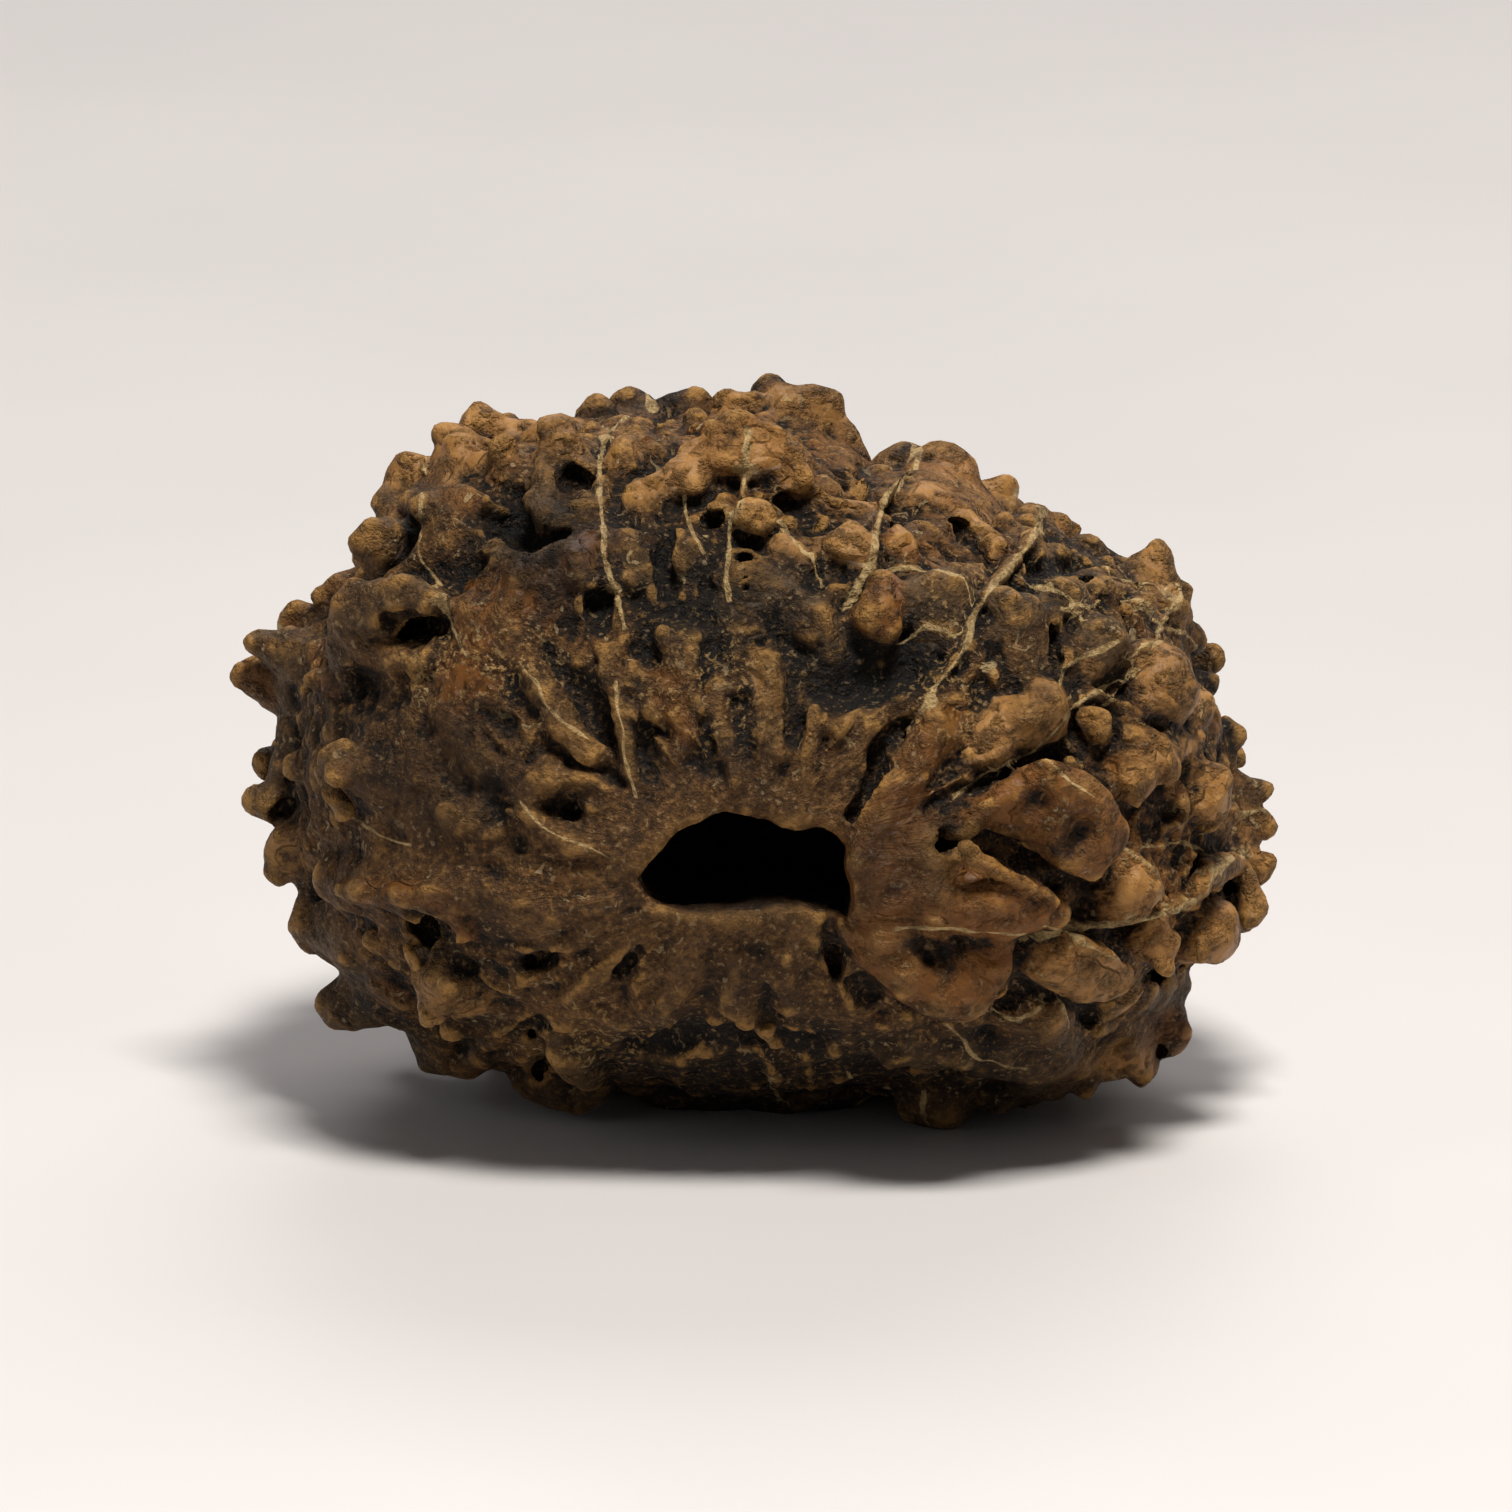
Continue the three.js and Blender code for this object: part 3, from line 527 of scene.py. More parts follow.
def sample(field, p):
    """Trilinear value of a grid at points."""
    q = (p - LOW) / STEP
    q = np.clip(q, 0, np.array(SHAPE) - 1.001)
    i = np.floor(q).astype(int)
    f = (q - i).astype(np.float32)
    out = np.zeros(len(p), np.float32)
    for dx in (0, 1):
        for dy in (0, 1):
            for dz in (0, 1):
                wgt = (f[:, 0] if dx else 1 - f[:, 0]) * (f[:, 1] if dy else 1 - f[:, 1]) * (f[:, 2] if dz else 1 - f[:, 2])
                out += wgt * field[i[:, 0] + dx, i[:, 1] + dy, i[:, 2] + dz]
    return out


def slope(field, p):
    e = STEP * 0.75
    g = np.stack([sample(field, p + e * np.eye(3)[i]) - sample(field, p - e * np.eye(3)[i]) for i in range(3)], 1)
    return g / np.maximum(np.linalg.norm(g, axis=1, keepdims=True), 1e-6)


def lattice_noise(p, size, seed):
    """Smooth noise of about -1 to 1, cubic between random lattice values."""
    rng = np.random.RandomState(seed)
    table = rng.uniform(-1, 1, (64, 64, 64)).astype(np.float32)
    q = p / size + 512.0
    i = np.floor(q).astype(int)
    f = (q - i)
    f = f * f * f * (f * (f * 6 - 15) + 10)
    out = np.zeros(len(p))
    for dx in (0, 1):
        for dy in (0, 1):
            for dz in (0, 1):
                wgt = (f[:, 0] if dx else 1 - f[:, 0]) * (f[:, 1] if dy else 1 - f[:, 1]) * (f[:, 2] if dz else 1 - f[:, 2])
                out += wgt * table[(i[:, 0] + dx) % 64, (i[:, 1] + dy) % 64, (i[:, 2] + dz) % 64]
    return out


def box_blur(field, cells, passes=3):
    out = field.astype(np.float32)
    for _ in range(passes):
        for axis in range(3):
            c = np.cumsum(out, axis=axis, dtype=np.float32)
            n = out.shape[axis]
            hi = np.clip(np.arange(n) + cells, 0, n - 1)
            lo = np.arange(n) - cells - 1
            top = np.take(c, hi, axis=axis)
            bot = np.take(c, np.clip(lo, 0, n - 1), axis=axis)
            shape = [1, 1, 1]
            shape[axis] = n
            bot = bot * (lo >= 0).astype(np.float32).reshape(shape)
            out = (top - bot) / (2 * cells + 1)
    return out


def surface_nets(field):
    """Quads on the zero level of a grid: one vertex for each cell that the surface crosses."""
    inside = field < 0
    corners = [(x, y, z) for x in (0, 1) for y in (0, 1) for z in (0, 1)]
    nx, ny, nz = field.shape
    count = np.zeros((nx - 1, ny - 1, nz - 1), np.int8)
    for x, y, z in corners:
        count += inside[x:nx - 1 + x, y:ny - 1 + y, z:nz - 1 + z]
    live = (count > 0) & (count < 8)
    cells = np.argwhere(live)
    index = np.full(live.shape, -1, np.int32)
    index[live] = np.arange(len(cells), dtype=np.int32)
    total = np.zeros((len(cells), 3))
    hits = np.zeros(len(cells))
    for a in corners:
        for axis in range(3):
            if a[axis]:
                continue
            b = list(a)
            b[axis] = 1
            da = field[cells[:, 0] + a[0], cells[:, 1] + a[1], cells[:, 2] + a[2]]
            db = field[cells[:, 0] + b[0], cells[:, 1] + b[1], cells[:, 2] + b[2]]
            hit = (da < 0) != (db < 0)
            t = np.where(hit, da / np.where(hit, da - db, 1), 0)
            p = np.tile(np.array(a, float), (len(cells), 1))
            p[:, axis] += t
            total += np.where(hit[:, None], p, 0)
            hits += hit
    verts = LOW + STEP * (cells + total / hits[:, None])
    quads = []
    for axis in range(3):
        o1, o2 = (axis + 1) % 3, (axis + 2) % 3
        lo = [slice(None)] * 3
        hi = [slice(None)] * 3
        lo[axis], hi[axis] = slice(0, -1), slice(1, None)
        for o in (o1, o2):
            lo[o] = hi[o] = slice(1, -1)
        a, b = inside[tuple(lo)], inside[tuple(hi)]
        for flip in (False, True):
            e = np.argwhere((a & ~b) if not flip else (~a & b))
            e[:, o1] += 1
            e[:, o2] += 1

            def at(d1, d2):
                c = e.copy()
                c[:, o1] += d1
                c[:, o2] += d2
                return index[c[:, 0], c[:, 1], c[:, 2]]
            q = np.stack([at(-1, -1), at(0, -1), at(0, 0), at(-1, 0)], 1)
            quads.append(q[:, ::-1] if flip else q)
    return verts, np.concatenate(quads)


def warts():
    """Small knobs and pits between the large ones; few on the worn ground around the mouth and to its left."""
    rng = np.random.RandomState(7)
    out = []
    total = 1500
    for i in range(total):
        z = 1 - 2 * (i + 0.5) / total
        a = i * 2.399963 + rng.uniform(-0.05, 0.05)
        z = min(0.999, max(-0.999, z + rng.uniform(-0.02, 0.02)))
        be, az = math.acos(z), a
        j1, j2, j3, j4 = rng.uniform(0, 1, 4)
        p = on_body(az, be)
        if p[2] < 0 and math.hypot(p[0] + 11, p[1] - 95) < 80:
            continue
        if p[2] > -20:
            near = math.hypot((p[0] + 11) / 1.25, p[1] + 108)
            left = math.hypot((p[0] + 270) / 1.2, p[1] + 50)
            if near < 260 or left < 165 or j4 < 0.45:
                continue
            out.append(("+", "n", 4.0, np.array([(*on_body(az, be, -10.0 + 9.0 * j2), 7.0 + 8.0 * j3)])) if j1 < 0.6 else
                       ("-", "d", 4.0, np.array([(*on_body(az, be, -1.0 + 5.0 * j2), 4.0 + 6.0 * j3)])))
        elif j1 < 0.62:
            out.append(("+", "n", 4.0, np.array([(*on_body(az, be, -8.0 + 10.0 * j2), 9.0 + 9.0 * j3)])))
        elif j1 < 0.9:
            out.append(("-", "d", 5.0, np.array([(*on_body(az, be, -2.0 + 6.0 * j2), 6.0 + 7.0 * j3)])))
    return out


def worn_ground(u, v):
    """1 on the worn ground around the mouth and to its left, 0 away from it."""
    a = np.clip((290.0 - np.hypot((u + 11.0) / 1.2, v + 118.0)) / 130.0, 0, 1)
    b = np.clip((190.0 - np.hypot((u + 250.0) / 1.25, v + 70.0)) / 100.0, 0, 1)
    c = np.maximum(a, 0.8 * b)
    return c * c * (3 - 2 * c)


RIM = np.array([(x - CX, CY - y) for x, y in MOUTH])


def along_hole(v, w):
    """The height on the mouth's rim that a point behind it came from, going along the hole."""
    return v - math.tan(TILT) * np.maximum(0.0, 356.0 - w)


def hole_distance(pu, pv, pw):
    x, y, z = to_obj(pu, pv, pw)
    at = along_hole(pv, pw)
    near = (np.abs(pu + 11.0) < 150) & (np.abs(at + 112.0) < 95) & (pw > 120)
    mouth = np.full(pu.shape, 200.0, np.float32)
    mouth[near] = np.maximum(polygon_distance(RIM, pu[near], at[near]) - 2.5, 170.0 - pw[near])
    bore = np.hypot(x + 11.0, z + 8.0) - 40.0 - 14.0 * np.clip((y - 330.0) / 50.0, 0, 1)
    return smooth_min(mouth, np.maximum(bore, -290.0 - y), 14.0)


def cobbles():
    """Low rounded knobs, close together, that fill the ground between the large ones on the sides and the top."""
    rng = np.random.RandomState(19)
    out = []
    total = 560
    for i in range(total):
        z = 1 - 2 * (i + 0.5) / total
        az = i * 2.399963 + rng.uniform(-0.09, 0.09)
        be = math.acos(min(0.999, max(-0.999, z + rng.uniform(-0.03, 0.03))))
        j1, j2, j3 = rng.uniform(0, 1, 3)
        p = on_body(az, be)
        near = math.hypot((p[0] + 11) / 1.25, p[1] + 108)
        left = math.hypot((p[0] + 270) / 1.2, p[1] + 50)
        if p[2] < -110 or (p[2] > 0 and (near < 270 or left < 190)):
            continue
        r = 23.0 + 12.0 * j1
        lean = on_body(az + 0.05 * (j2 - 0.5), be + 0.05 * (j3 - 0.5), 4.0 - r + 13.0 * j2)
        out.append(("+", "nngto"[int(j3 * 4.999)], 5.0, np.array([(*on_body(az, be, -8.0 - r), r), (*lean, r * 0.8)])))
    return out


WARTS = cobbles() + warts()
FRONT = parse_features(FEATURES)
BACK = back_features()
LINES = parse_seams(SEAMS)


def flutes():
    """Ridges and grooves that run out from the mouth, over u and v: deep above it, low below it."""
    du, dv = np.broadcast_arrays(U[:, None] + 11.0, (V[None, :] + 108.0) * 1.4)
    far = np.hypot(du, dv)
    p = np.stack([du, dv, np.zeros_like(du)], -1).reshape(-1, 3)
    phi = np.arctan2(dv, du) + (0.08 * lattice_noise(p, 110.0, 51) + 0.035 * lattice_noise(p, 40.0, 52)).reshape(far.shape)
    at = np.stack([np.cos(phi), np.sin(phi), far / 800.0], -1).reshape(-1, 3)
    broad = np.abs(lattice_noise(at * 7.5, 1.0, 53)).reshape(far.shape)
    thin = np.abs(lattice_noise(at * 16.0, 1.0, 54)).reshape(far.shape)
    fade = np.clip((far - 118.0) / 80.0, 0, 1) * np.clip((380.0 - far) / 120.0, 0, 1)
    up = np.clip((dv - 10.0) / 130.0, 0, 1)
    down = np.clip((-dv - 30.0) / 110.0, 0, 1) * np.clip((260.0 - np.abs(du)) / 120.0, 0, 1)
    return (fade * ((4.0 + 22.0 * up + 12.0 * down) * (0.24 - broad) + (2.5 + 10.0 * up + 6.0 * down) * (0.24 - thin))).astype(np.float32)


def shape_bead():
    field = gauge(U[:, None, None], V[None, :, None], W[None, None, :]).astype(np.float32)
    gu, gv, gw = np.gradient(field, STEP)
    field = (field - 1) / np.maximum(np.sqrt(gu * gu + gv * gv + gw * gw), 1e-4)
    del gu, gv, gw
    # Ground between the knobs: lower than the body, with crooked webs; smooth around the mouth of the hole.
    calm = 1.0 - worn_ground(U[:, None], V[None, :])[:, :, None]
    calm = np.where(W[None, None, :] > 0, calm, 1.0).astype(np.float32)
    field += calm * 8.0
    field -= (0.15 + 0.85 * calm) * (11.0 * (0.55 - np.abs(grid_noise(36.0, 101))) + 8.0 * (0.5 - np.abs(grid_noise(18.0, 102))))
    field[:, :, W > 100] -= flutes()[:, :, None]
    warp = [5.5 * grid_noise(30.0, 103 + i) + 2.6 * grid_noise(13.0, 113 + i) for i in range(3)]
    for sign, tint, k, nodes in WARTS + BACK:
        apply(field, sign, nodes, 0.7 * k + 0.3 * nodes[:, 3].max() if sign == "+" else k, warp)
    for sign, tint, k, nodes in FRONT:
        apply(field, sign, nodes, 0.8 * k + 0.4 * nodes[:, 3].max() if sign == "+" else k, warp)
    field += 0.55 * (field - box_blur(field, 2, 2))     # crisper crests and creases
    seams = []
    # Seams of the near side: dropped on to the relief along the line of sight.
    for r, pts in LINES:
        length = np.r_[0, np.cumsum(np.hypot(*np.diff(pts, axis=0).T))]
        s = np.arange(0, length[-1], 5.0)
        u, v = np.interp(s, length, pts[:, 0]), np.interp(s, length, pts[:, 1])
        at = np.stack([u, v, np.zeros(len(s))], 1)
        u, v = u + 3.0 * lattice_noise(at, 22.0, 41), v + 3.0 * lattice_noise(at, 22.0, 42)
        iu, iv = np.round((u - LOW[0]) / STEP).astype(int), np.round((v - LOW[1]) / STEP).astype(int)
        w = np.full(len(s), np.nan)
        for n in range(len(s)):
            col = field[iu[n], iv[n]]
            hit = np.nonzero(col < 0)[0]
            if len(hit) and hit[-1] + 1 < SHAPE[2]:
                k = hit[-1]
                w[n] = W[k] + STEP * col[k] / (col[k] - col[k + 1])
        seams.append((r, u, v, w))
    # Seams of the far side: run on from the rim to the back of the hole.
    dice = Dice(77)
    for az in FACES:
        us, ws = [], []
        wob = [dice() - 0.5 for _ in range(12)]
        for n, be in enumerate(np.radians(np.arange(100.0, 13.0, -0.9))):
            a = math.radians(az) + 0.05 * float(np.interp(n / 8.0, range(12), wob))
            d = np.array(to_cam(math.sin(be) * math.cos(a), math.cos(be), math.sin(be) * math.sin(a)))
            t = np.arange(560.0, 240.0, -3.0)
            f = sample(field, d * t[:, None])
            hit = np.nonzero(f < 0)[0]
            if len(hit) and hit[0] > 0:
                p = d * (t[hit[0]] + 1.5)
                if p[2] < -20:
                    us.append(p)
        if len(us) > 4:
            us = np.array(us)
            for i in range(3):     # ease the line over the pits it crosses
                s = np.convolve(np.pad(us[:, i], 4, mode="edge"), np.ones(9) / 9, "valid")
                us[:, i] = 0.4 * us[:, i] + 0.6 * s
            seams.append((3.2, us[:, 0], us[:, 1], us[:, 2]))
    chains = []
    for r, u, v, w in seams:
        ok = np.isfinite(w)
        u, v, w = u[ok], v[ok], w[ok]
        if len(u) < 3:
            continue
        ease = np.convolve(np.pad(w, 4, mode="edge"), np.ones(9) / 9, "valid")
        if r > 2.8 and r != 3.2:     # the strong seams of the near side bridge the gaps between knobs
            top = np.max([np.roll(np.pad(w, 6, mode="edge"), k)[6:-6] for k in range(-4, 5)], axis=0)
            ease = np.convolve(np.pad(top, 4, mode="edge"), np.ones(9) / 9, "valid") - 4
        w = np.where(np.abs(w - ease) > 60, w, np.maximum(w, ease - 2))
        cut = np.nonzero(np.sqrt(np.diff(u) ** 2 + np.diff(v) ** 2 + np.diff(w) ** 2) > 26)[0] + 1
        for pu, pv, pw in zip(np.split(u, cut), np.split(v, cut), np.split(w, cut)):
            if len(pu) > 1:
                chains.append(np.stack([pu, pv, pw, np.full(len(pu), r)], 1))
    for c in chains:
        for i in range(0, len(c) - 1, 10):
            for drop in (0.0, 5.0, 10.0, 15.0):     # a low ridge, its middle at the surface, and a wall below it
                low = c[i:i + 11].copy()
                low[:, :3] *= 1.0 - drop / np.linalg.norm(low[:, :3], axis=1, keepdims=True)
                low[:, 3] = 0.75 * low[:, 3] + 0.12 * drop
                apply(field, "+", low, 4.0)
    # The stringing hole: a ragged mouth, undercut behind its lip, then a bore along the axis that opens at the back.
    s = window((-190, -330, -452), (170, 300, 452))
    pu, pv, pw = np.meshgrid(U[s[0]], V[s[1]], W[s[2]], indexing="ij")
    hole = hole_distance(pu, pv, pw)
    part = field[s]
    field[s] = -smooth_min(-part, hole, 7.0)
    # The flat spot.
    level = V[None, :, None] * COST + W[None, None, :] * SINT
    field = -smooth_min(-field, level - FLOOR, 4.0)
    return field.astype(np.float32), chains


# ---------------------------------------------------------------------------------------------------------------
# Mesh
# ---------------------------------------------------------------------------------------------------------------
def bend(mesh, p):
    """How sharply the mesh turns at each vertex, in shares of the edge length: below 0 on crests, above 0 in creases."""
    n = len(p)
    edges = np.empty(len(mesh.edges) * 2, np.int32)
    mesh.edges.foreach_get("vertices", edges)
    a, b = edges[0::2], edges[1::2]
    normal = np.empty(n * 3, np.float32)
    mesh.vertices.foreach_get("normal", normal)
    normal = normal.reshape(-1, 3)
    count = np.maximum(np.bincount(a, minlength=n) + np.bincount(b, minlength=n), 1)

    def spread(v):
        return (np.bincount(a, v[b], n) + np.bincount(b, v[a], n)) / count
    size = np.linalg.norm(p[a] - p[b], axis=1)
    edge = (np.bincount(a, size, n) + np.bincount(b, size, n)) / count
    mean = np.stack([spread(p[:, i]) for i in range(3)], 1)
    turn = ((mean - p) * normal).sum(1) / np.maximum(edge, 1e-6)
    return 0.5 * turn + 0.5 * spread(turn)


def ring(p):
    """A point's place around and away from the mouth of the hole, bent a little, for strands that run out from it."""
    du, dv = p[:, 0] + 11.0, (p[:, 1] + 108.0) * 1.5
    far = np.hypot(du, dv)
    phi = np.arctan2(dv, du) + 0.09 * lattice_noise(p, 90.0, 21) + 0.03 * lattice_noise(p, 30.0, 24)
    fade = np.clip((far - 105.0) / 30.0, 0, 1) * np.clip((360.0 - far) / 160.0, 0, 1) * np.clip((p[:, 2] - 150) / 80.0, 0, 1)
    return np.stack([np.cos(phi), np.sin(phi), far / 1200.0], 1), fade


def grain(p):
    """Small uneven relief over the knobs, crumbs on the ground, and strands that run out from the mouth of the hole."""
    high = np.clip(((gauge(p[:, 0], p[:, 1], p[:, 2]) - 1.0) * 400.0 - 2.0) / 16.0, 0, 1)
    worn = worn_ground(p[:, 0], p[:, 1]) * (p[:, 2] > 0)
    high = np.maximum(high, 0.75 * worn)
    d = 2.6 * lattice_noise(p, 46.0, 11) + (2.8 - 1.2 * high) * lattice_noise(p, 21.0, 12) + (2.4 - 1.8 * high) * lattice_noise(p, 11.0, 13)
    rough = np.clip(0.5 + 1.2 * lattice_noise(p, 70.0, 14), 0, 1) * (1.0 - 0.8 * high)
    d += rough * (3.2 * np.maximum(0.0, lattice_noise(p, 13.0, 15) - 0.12) * 2.0 - 2.4 * np.maximum(0.0, lattice_noise(p, 12.0, 16) - 0.2) * 2.0)
    at, fade = ring(p)
    strand = lattice_noise(at * 13.0, 1.0, 22) + 0.6 * lattice_noise(at * 27.0, 1.0, 23)
    d += 2.6 * strand * fade * np.clip(0.6 + lattice_noise(p, 60.0, 25), 0, 1)
    level = p[:, 1] * COST + p[:, 2] * SINT - FLOOR
    return d * np.clip((level - 3.0) / 10.0, 0, 1)


def one_shell(verts, faces):
    """Only the largest surface joined edge to edge stays: no closed bubbles inside and no loose crumbs outside."""
    n, k = faces.shape
    a, b = faces.astype(np.int64).ravel(), np.roll(faces, -1, 1).astype(np.int64).ravel()
    edge = np.minimum(a, b) * len(verts) + np.maximum(a, b)
    order = np.argsort(edge, kind="stable")
    edge, face = edge[order], order // k
    start = np.nonzero(np.r_[True, edge[1:] != edge[:-1]])[0]
    pair = start[np.diff(np.r_[start, len(edge)]) == 2]
    a, b = face[pair], face[pair + 1]
    label = np.arange(n)
    while True:
        low = np.minimum(label[a], label[b])
        new = label.copy()
        np.minimum.at(new, label[a], low)
        np.minimum.at(new, label[b], low)
        new = new[new[new]]
        if np.array_equal(new, label):
            break
        label = new
    faces = faces[label == np.bincount(label).argmax()]
    used = np.unique(faces)
    return verts[used], np.searchsorted(used, faces)


def mesh_of(name, verts, faces):
    n, k = faces.shape
    mesh = bpy.data.meshes.new(name)
    mesh.vertices.add(len(verts))
    mesh.vertices.foreach_set("co", verts.astype(np.float32).ravel())
    mesh.loops.add(n * k)
    mesh.loops.foreach_set("vertex_index", faces.astype(np.int32).ravel())
    mesh.polygons.add(n)
    mesh.polygons.foreach_set("loop_start", np.arange(0, n * k, k, dtype=np.int32))
    mesh.update(calc_edges=True)
    mesh.validate()
    return mesh


def make_bead(field):
    verts, quads = one_shell(*surface_nets(field))
    normal = slope(field, verts)
    verts = verts + normal * grain(verts)[:, None]
    mesh = mesh_of("bead_raw", verts, quads)
    raw = bpy.data.objects.new("bead_raw", mesh)
    bpy.context.scene.collection.objects.link(raw)
    dec = raw.modifiers.new("fewer", "DECIMATE")
    dec.ratio = min(1.0, TRIANGLES / (2.0 * len(quads)))
    dec.use_collapse_triangulate = True
    deps = bpy.context.evaluated_depsgraph_get()
    done = bpy.data.meshes.new_from_object(raw.evaluated_get(deps))
    bpy.data.objects.remove(raw)
    bpy.data.meshes.remove(mesh)
    verts, faces = np.empty(3 * len(done.vertices), np.float32), np.empty(len(done.loops), np.int32)
    done.vertices.foreach_get("co", verts)
    done.loops.foreach_get("vertex_index", faces)
    bpy.data.meshes.remove(done)
    return mesh_of("bead", *one_shell(verts.reshape(-1, 3), faces.reshape(-1, 3)))


def paint(field, chains, p):
    """What each point of the surface is: how high, how hollow, which tint, on a seam or not."""
    n = len(p)
    look = {k: np.zeros(n) for k in ("tan", "amber", "grey", "soot", "cream", "vary")}
    look["vary"] += 0.5
    names = {"t": "tan", "o": "amber", "g": "grey", "d": "soot", "c": "cream"}
    dice = Dice(4242)
    warp = 3.5 * lattice_noise(p, 14.0, 31) + 2.0 * lattice_noise(p, 6.0, 32)
    for sign, tint, k, nodes in WARTS + BACK + FRONT:
        r = nodes[:, 3].max() + 24.0
        lo, hi = nodes[:, :3].min(0) - r, nodes[:, :3].max(0) + r
        near = np.nonzero(((p > lo) & (p < hi)).all(1))[0]
        chance = dice()
        if not len(near):
            continue
        d = tube_distance(nodes, p[near, 0], p[near, 1], p[near, 2])
        if sign == "-":
            d = np.abs(d)
        soft = np.clip(1.0 - (d + warp[near] - 1.0) / 9.0, 0, 1)
        soft = soft * soft * (3 - 2 * soft)
        for name in ("tan", "amber", "grey", "soot", "cream"):
            if names.get(tint) == name:
                look[name][near] = np.maximum(look[name][near], soft)
            else:
                look[name][near] *= 1 - 0.85 * soft
        look["vary"][near] += (chance - look["vary"][near]) * soft
    # Seams: how far to the side of the line, in shares of its half width, and a mask that fades at its ends.
    near_by, side = np.full(n, 99.0), np.full(n, 9.0)
    e = 1.0
    out = np.stack([gauge(p[:, 0] + e * i, p[:, 1] + e * j, p[:, 2] + e * k) - gauge(p[:, 0] - e * i, p[:, 1] - e * j, p[:, 2] - e * k)
                    for i, j, k in np.eye(3)], 1)
    out /= np.linalg.norm(out, axis=1, keepdims=True)
    for c in chains:
        reach = 26.0
        near = np.nonzero(((p > c[:, :3].min(0) - reach) & (p < c[:, :3].max(0) + reach)).all(1))[0]
        for a, b in zip(c[:-1], c[1:]):
            e = b[:3] - a[:3]
            ee = float(e @ e)
            q = p[near] - a[:3]
            t = np.clip(q @ e / ee, 0, 1)
            off = q - t[:, None] * e
            far = np.linalg.norm(off, axis=1)
            better = far < near_by[near]
            if not better.any():
                continue
            i = near[better]
            near_by[i] = far[better]
            across = np.cross(out[i], e / math.sqrt(ee))
            side[i] = np.clip((off[better] * across).sum(1) / a[3], -9, 9)
    look["side"] = side
    look["line"] = np.clip(1.0 - (near_by - 7.0) / 6.0, 0, 1)
    # How far into a hollow or out on a crest each point lies; from these the material paints shade in the hollows and a
    # highlight along the crests.
    full = (field < 0).astype(np.float32)
    small, big = box_blur(full, 2), box_blur(full, 6)
    look["pit"] = np.clip((sample(small, p) - 0.5) * 2.0, -1, 1)
    look["hollow"] = np.clip((sample(big, p) - 0.5) * 2.0, -1, 1)
    g = gauge(p[:, 0], p[:, 1], p[:, 2])
    look["rise"] = np.clip(((g - 1.0) * 400.0 - 2.0) / 16.0, 0, 1)
    # The inside of the mouth and the bore, which the material paints near black as shade.
    x, y, z = to_obj(p[:, 0], p[:, 1], p[:, 2])
    inner = polygon_distance(RIM, p[:, 0], along_hole(p[:, 1], p[:, 2]))
    mouth = np.clip((14.0 - inner) / 6.0, 0, 1) * np.clip((352.0 - p[:, 2]) / 46.0, 0, 1) * (p[:, 2] > 100)
    bore = (np.hypot(x + 11.0, z + 8.0) < 64.0) * np.clip((350.0 - np.abs(y)) / 30.0, 0, 1)
    look["bore"] = np.maximum(mouth, bore)
    # Broad shifts of tone over the near side, the places of painted shade and soot, and where pale crumbs cling.
    look["worn"] = worn_ground(p[:, 0], p[:, 1]) * (p[:, 2] > 0)
    look["zone"] = np.zeros(n)
    for cx, cy, rx, ry, amount in ZONES:
        d = np.hypot((p[:, 0] + CX - cx) / rx, (CY - p[:, 1] - cy) / ry)
        f = np.clip(1.3 - d, 0, 1)
        look["zone"] += amount * f * f * (3 - 2 * f) * (p[:, 2] > -60)
    for name, places in (("dim", SHADE_AND_SOOT), ("crumb", CRUMBS)):
        look[name] = np.zeros(n)
        for cx, cy, rx, ry, amount in places:
            f = np.clip(1.4 - np.hypot((p[:, 0] + CX - cx) / rx, (CY - p[:, 1] - cy) / ry), 0, 1)
            look[name] = np.maximum(look[name], amount * f * f * (3 - 2 * f) * (p[:, 2] > -60))
    return look


# ---------------------------------------------------------------------------------------------------------------
# Material
# ---------------------------------------------------------------------------------------------------------------
class Nodes:
    def __init__(self, name):
        self.material = bpy.data.materials.new(name)
        self.material.use_nodes = True
        self.tree = self.material.node_tree
        self.tree.nodes.clear()

    def add(self, kind, **sockets):
        node = self.tree.nodes.new(kind)
        for key, value in sockets.items():
            if key.startswith("_"):
                setattr(node, key[1:], value)
        for key, value in sockets.items():
            if not key.startswith("_"):
                self.put(node.inputs[int(key[1:]) if key[0] == "i" and key[1:].isdigit() else key.replace("_", " ")], value)
        return node

    def put(self, socket, value):
        if hasattr(value, "is_linked"):
            self.tree.links.new(value, socket)
        else:
            socket.default_value = value

    def attribute(self, name):
        return self.add("ShaderNodeAttribute", _attribute_name=name, _attribute_type="GEOMETRY").outputs["Fac"]

    def math(self, op, a, b=0.0, clamp=False):
        return self.add("ShaderNodeMath", _operation=op, _use_clamp=clamp, i0=a, i1=b).outputs[0]

    def mix(self, fac, a, b, blend="MIX"):
        node = self.add("ShaderNodeMix", _data_type="RGBA", _blend_type=blend)
        self.put(node.inputs[0], fac)
        self.put(node.inputs[6], a)
        self.put(node.inputs[7], b)
        return node.outputs[2]

    def ramp(self, value, low, high, a=0.0, b=1.0, smooth=True):
        node = self.add("ShaderNodeMapRange", _interpolation_type="SMOOTHSTEP" if smooth else "LINEAR")
        self.put(node.inputs[0], value)
        for i, x in enumerate((low, high, a, b)):
            node.inputs[i + 1].default_value = x
        return node.outputs[0]

    def noise(self, where, scale, detail=3.0, rough=0.55, distort=0.0):
        return self.add("ShaderNodeTexNoise", Vector=where, Scale=scale, Detail=detail, Roughness=rough, Distortion=distort).outputs[0]


def lin(r, g, b):
    def f(c):
        c /= 255.0
        return c / 12.92 if c <= 0.04045 else ((c + 0.055) / 1.055) ** 2.4
    return (f(r), f(g), f(b), 1.0)


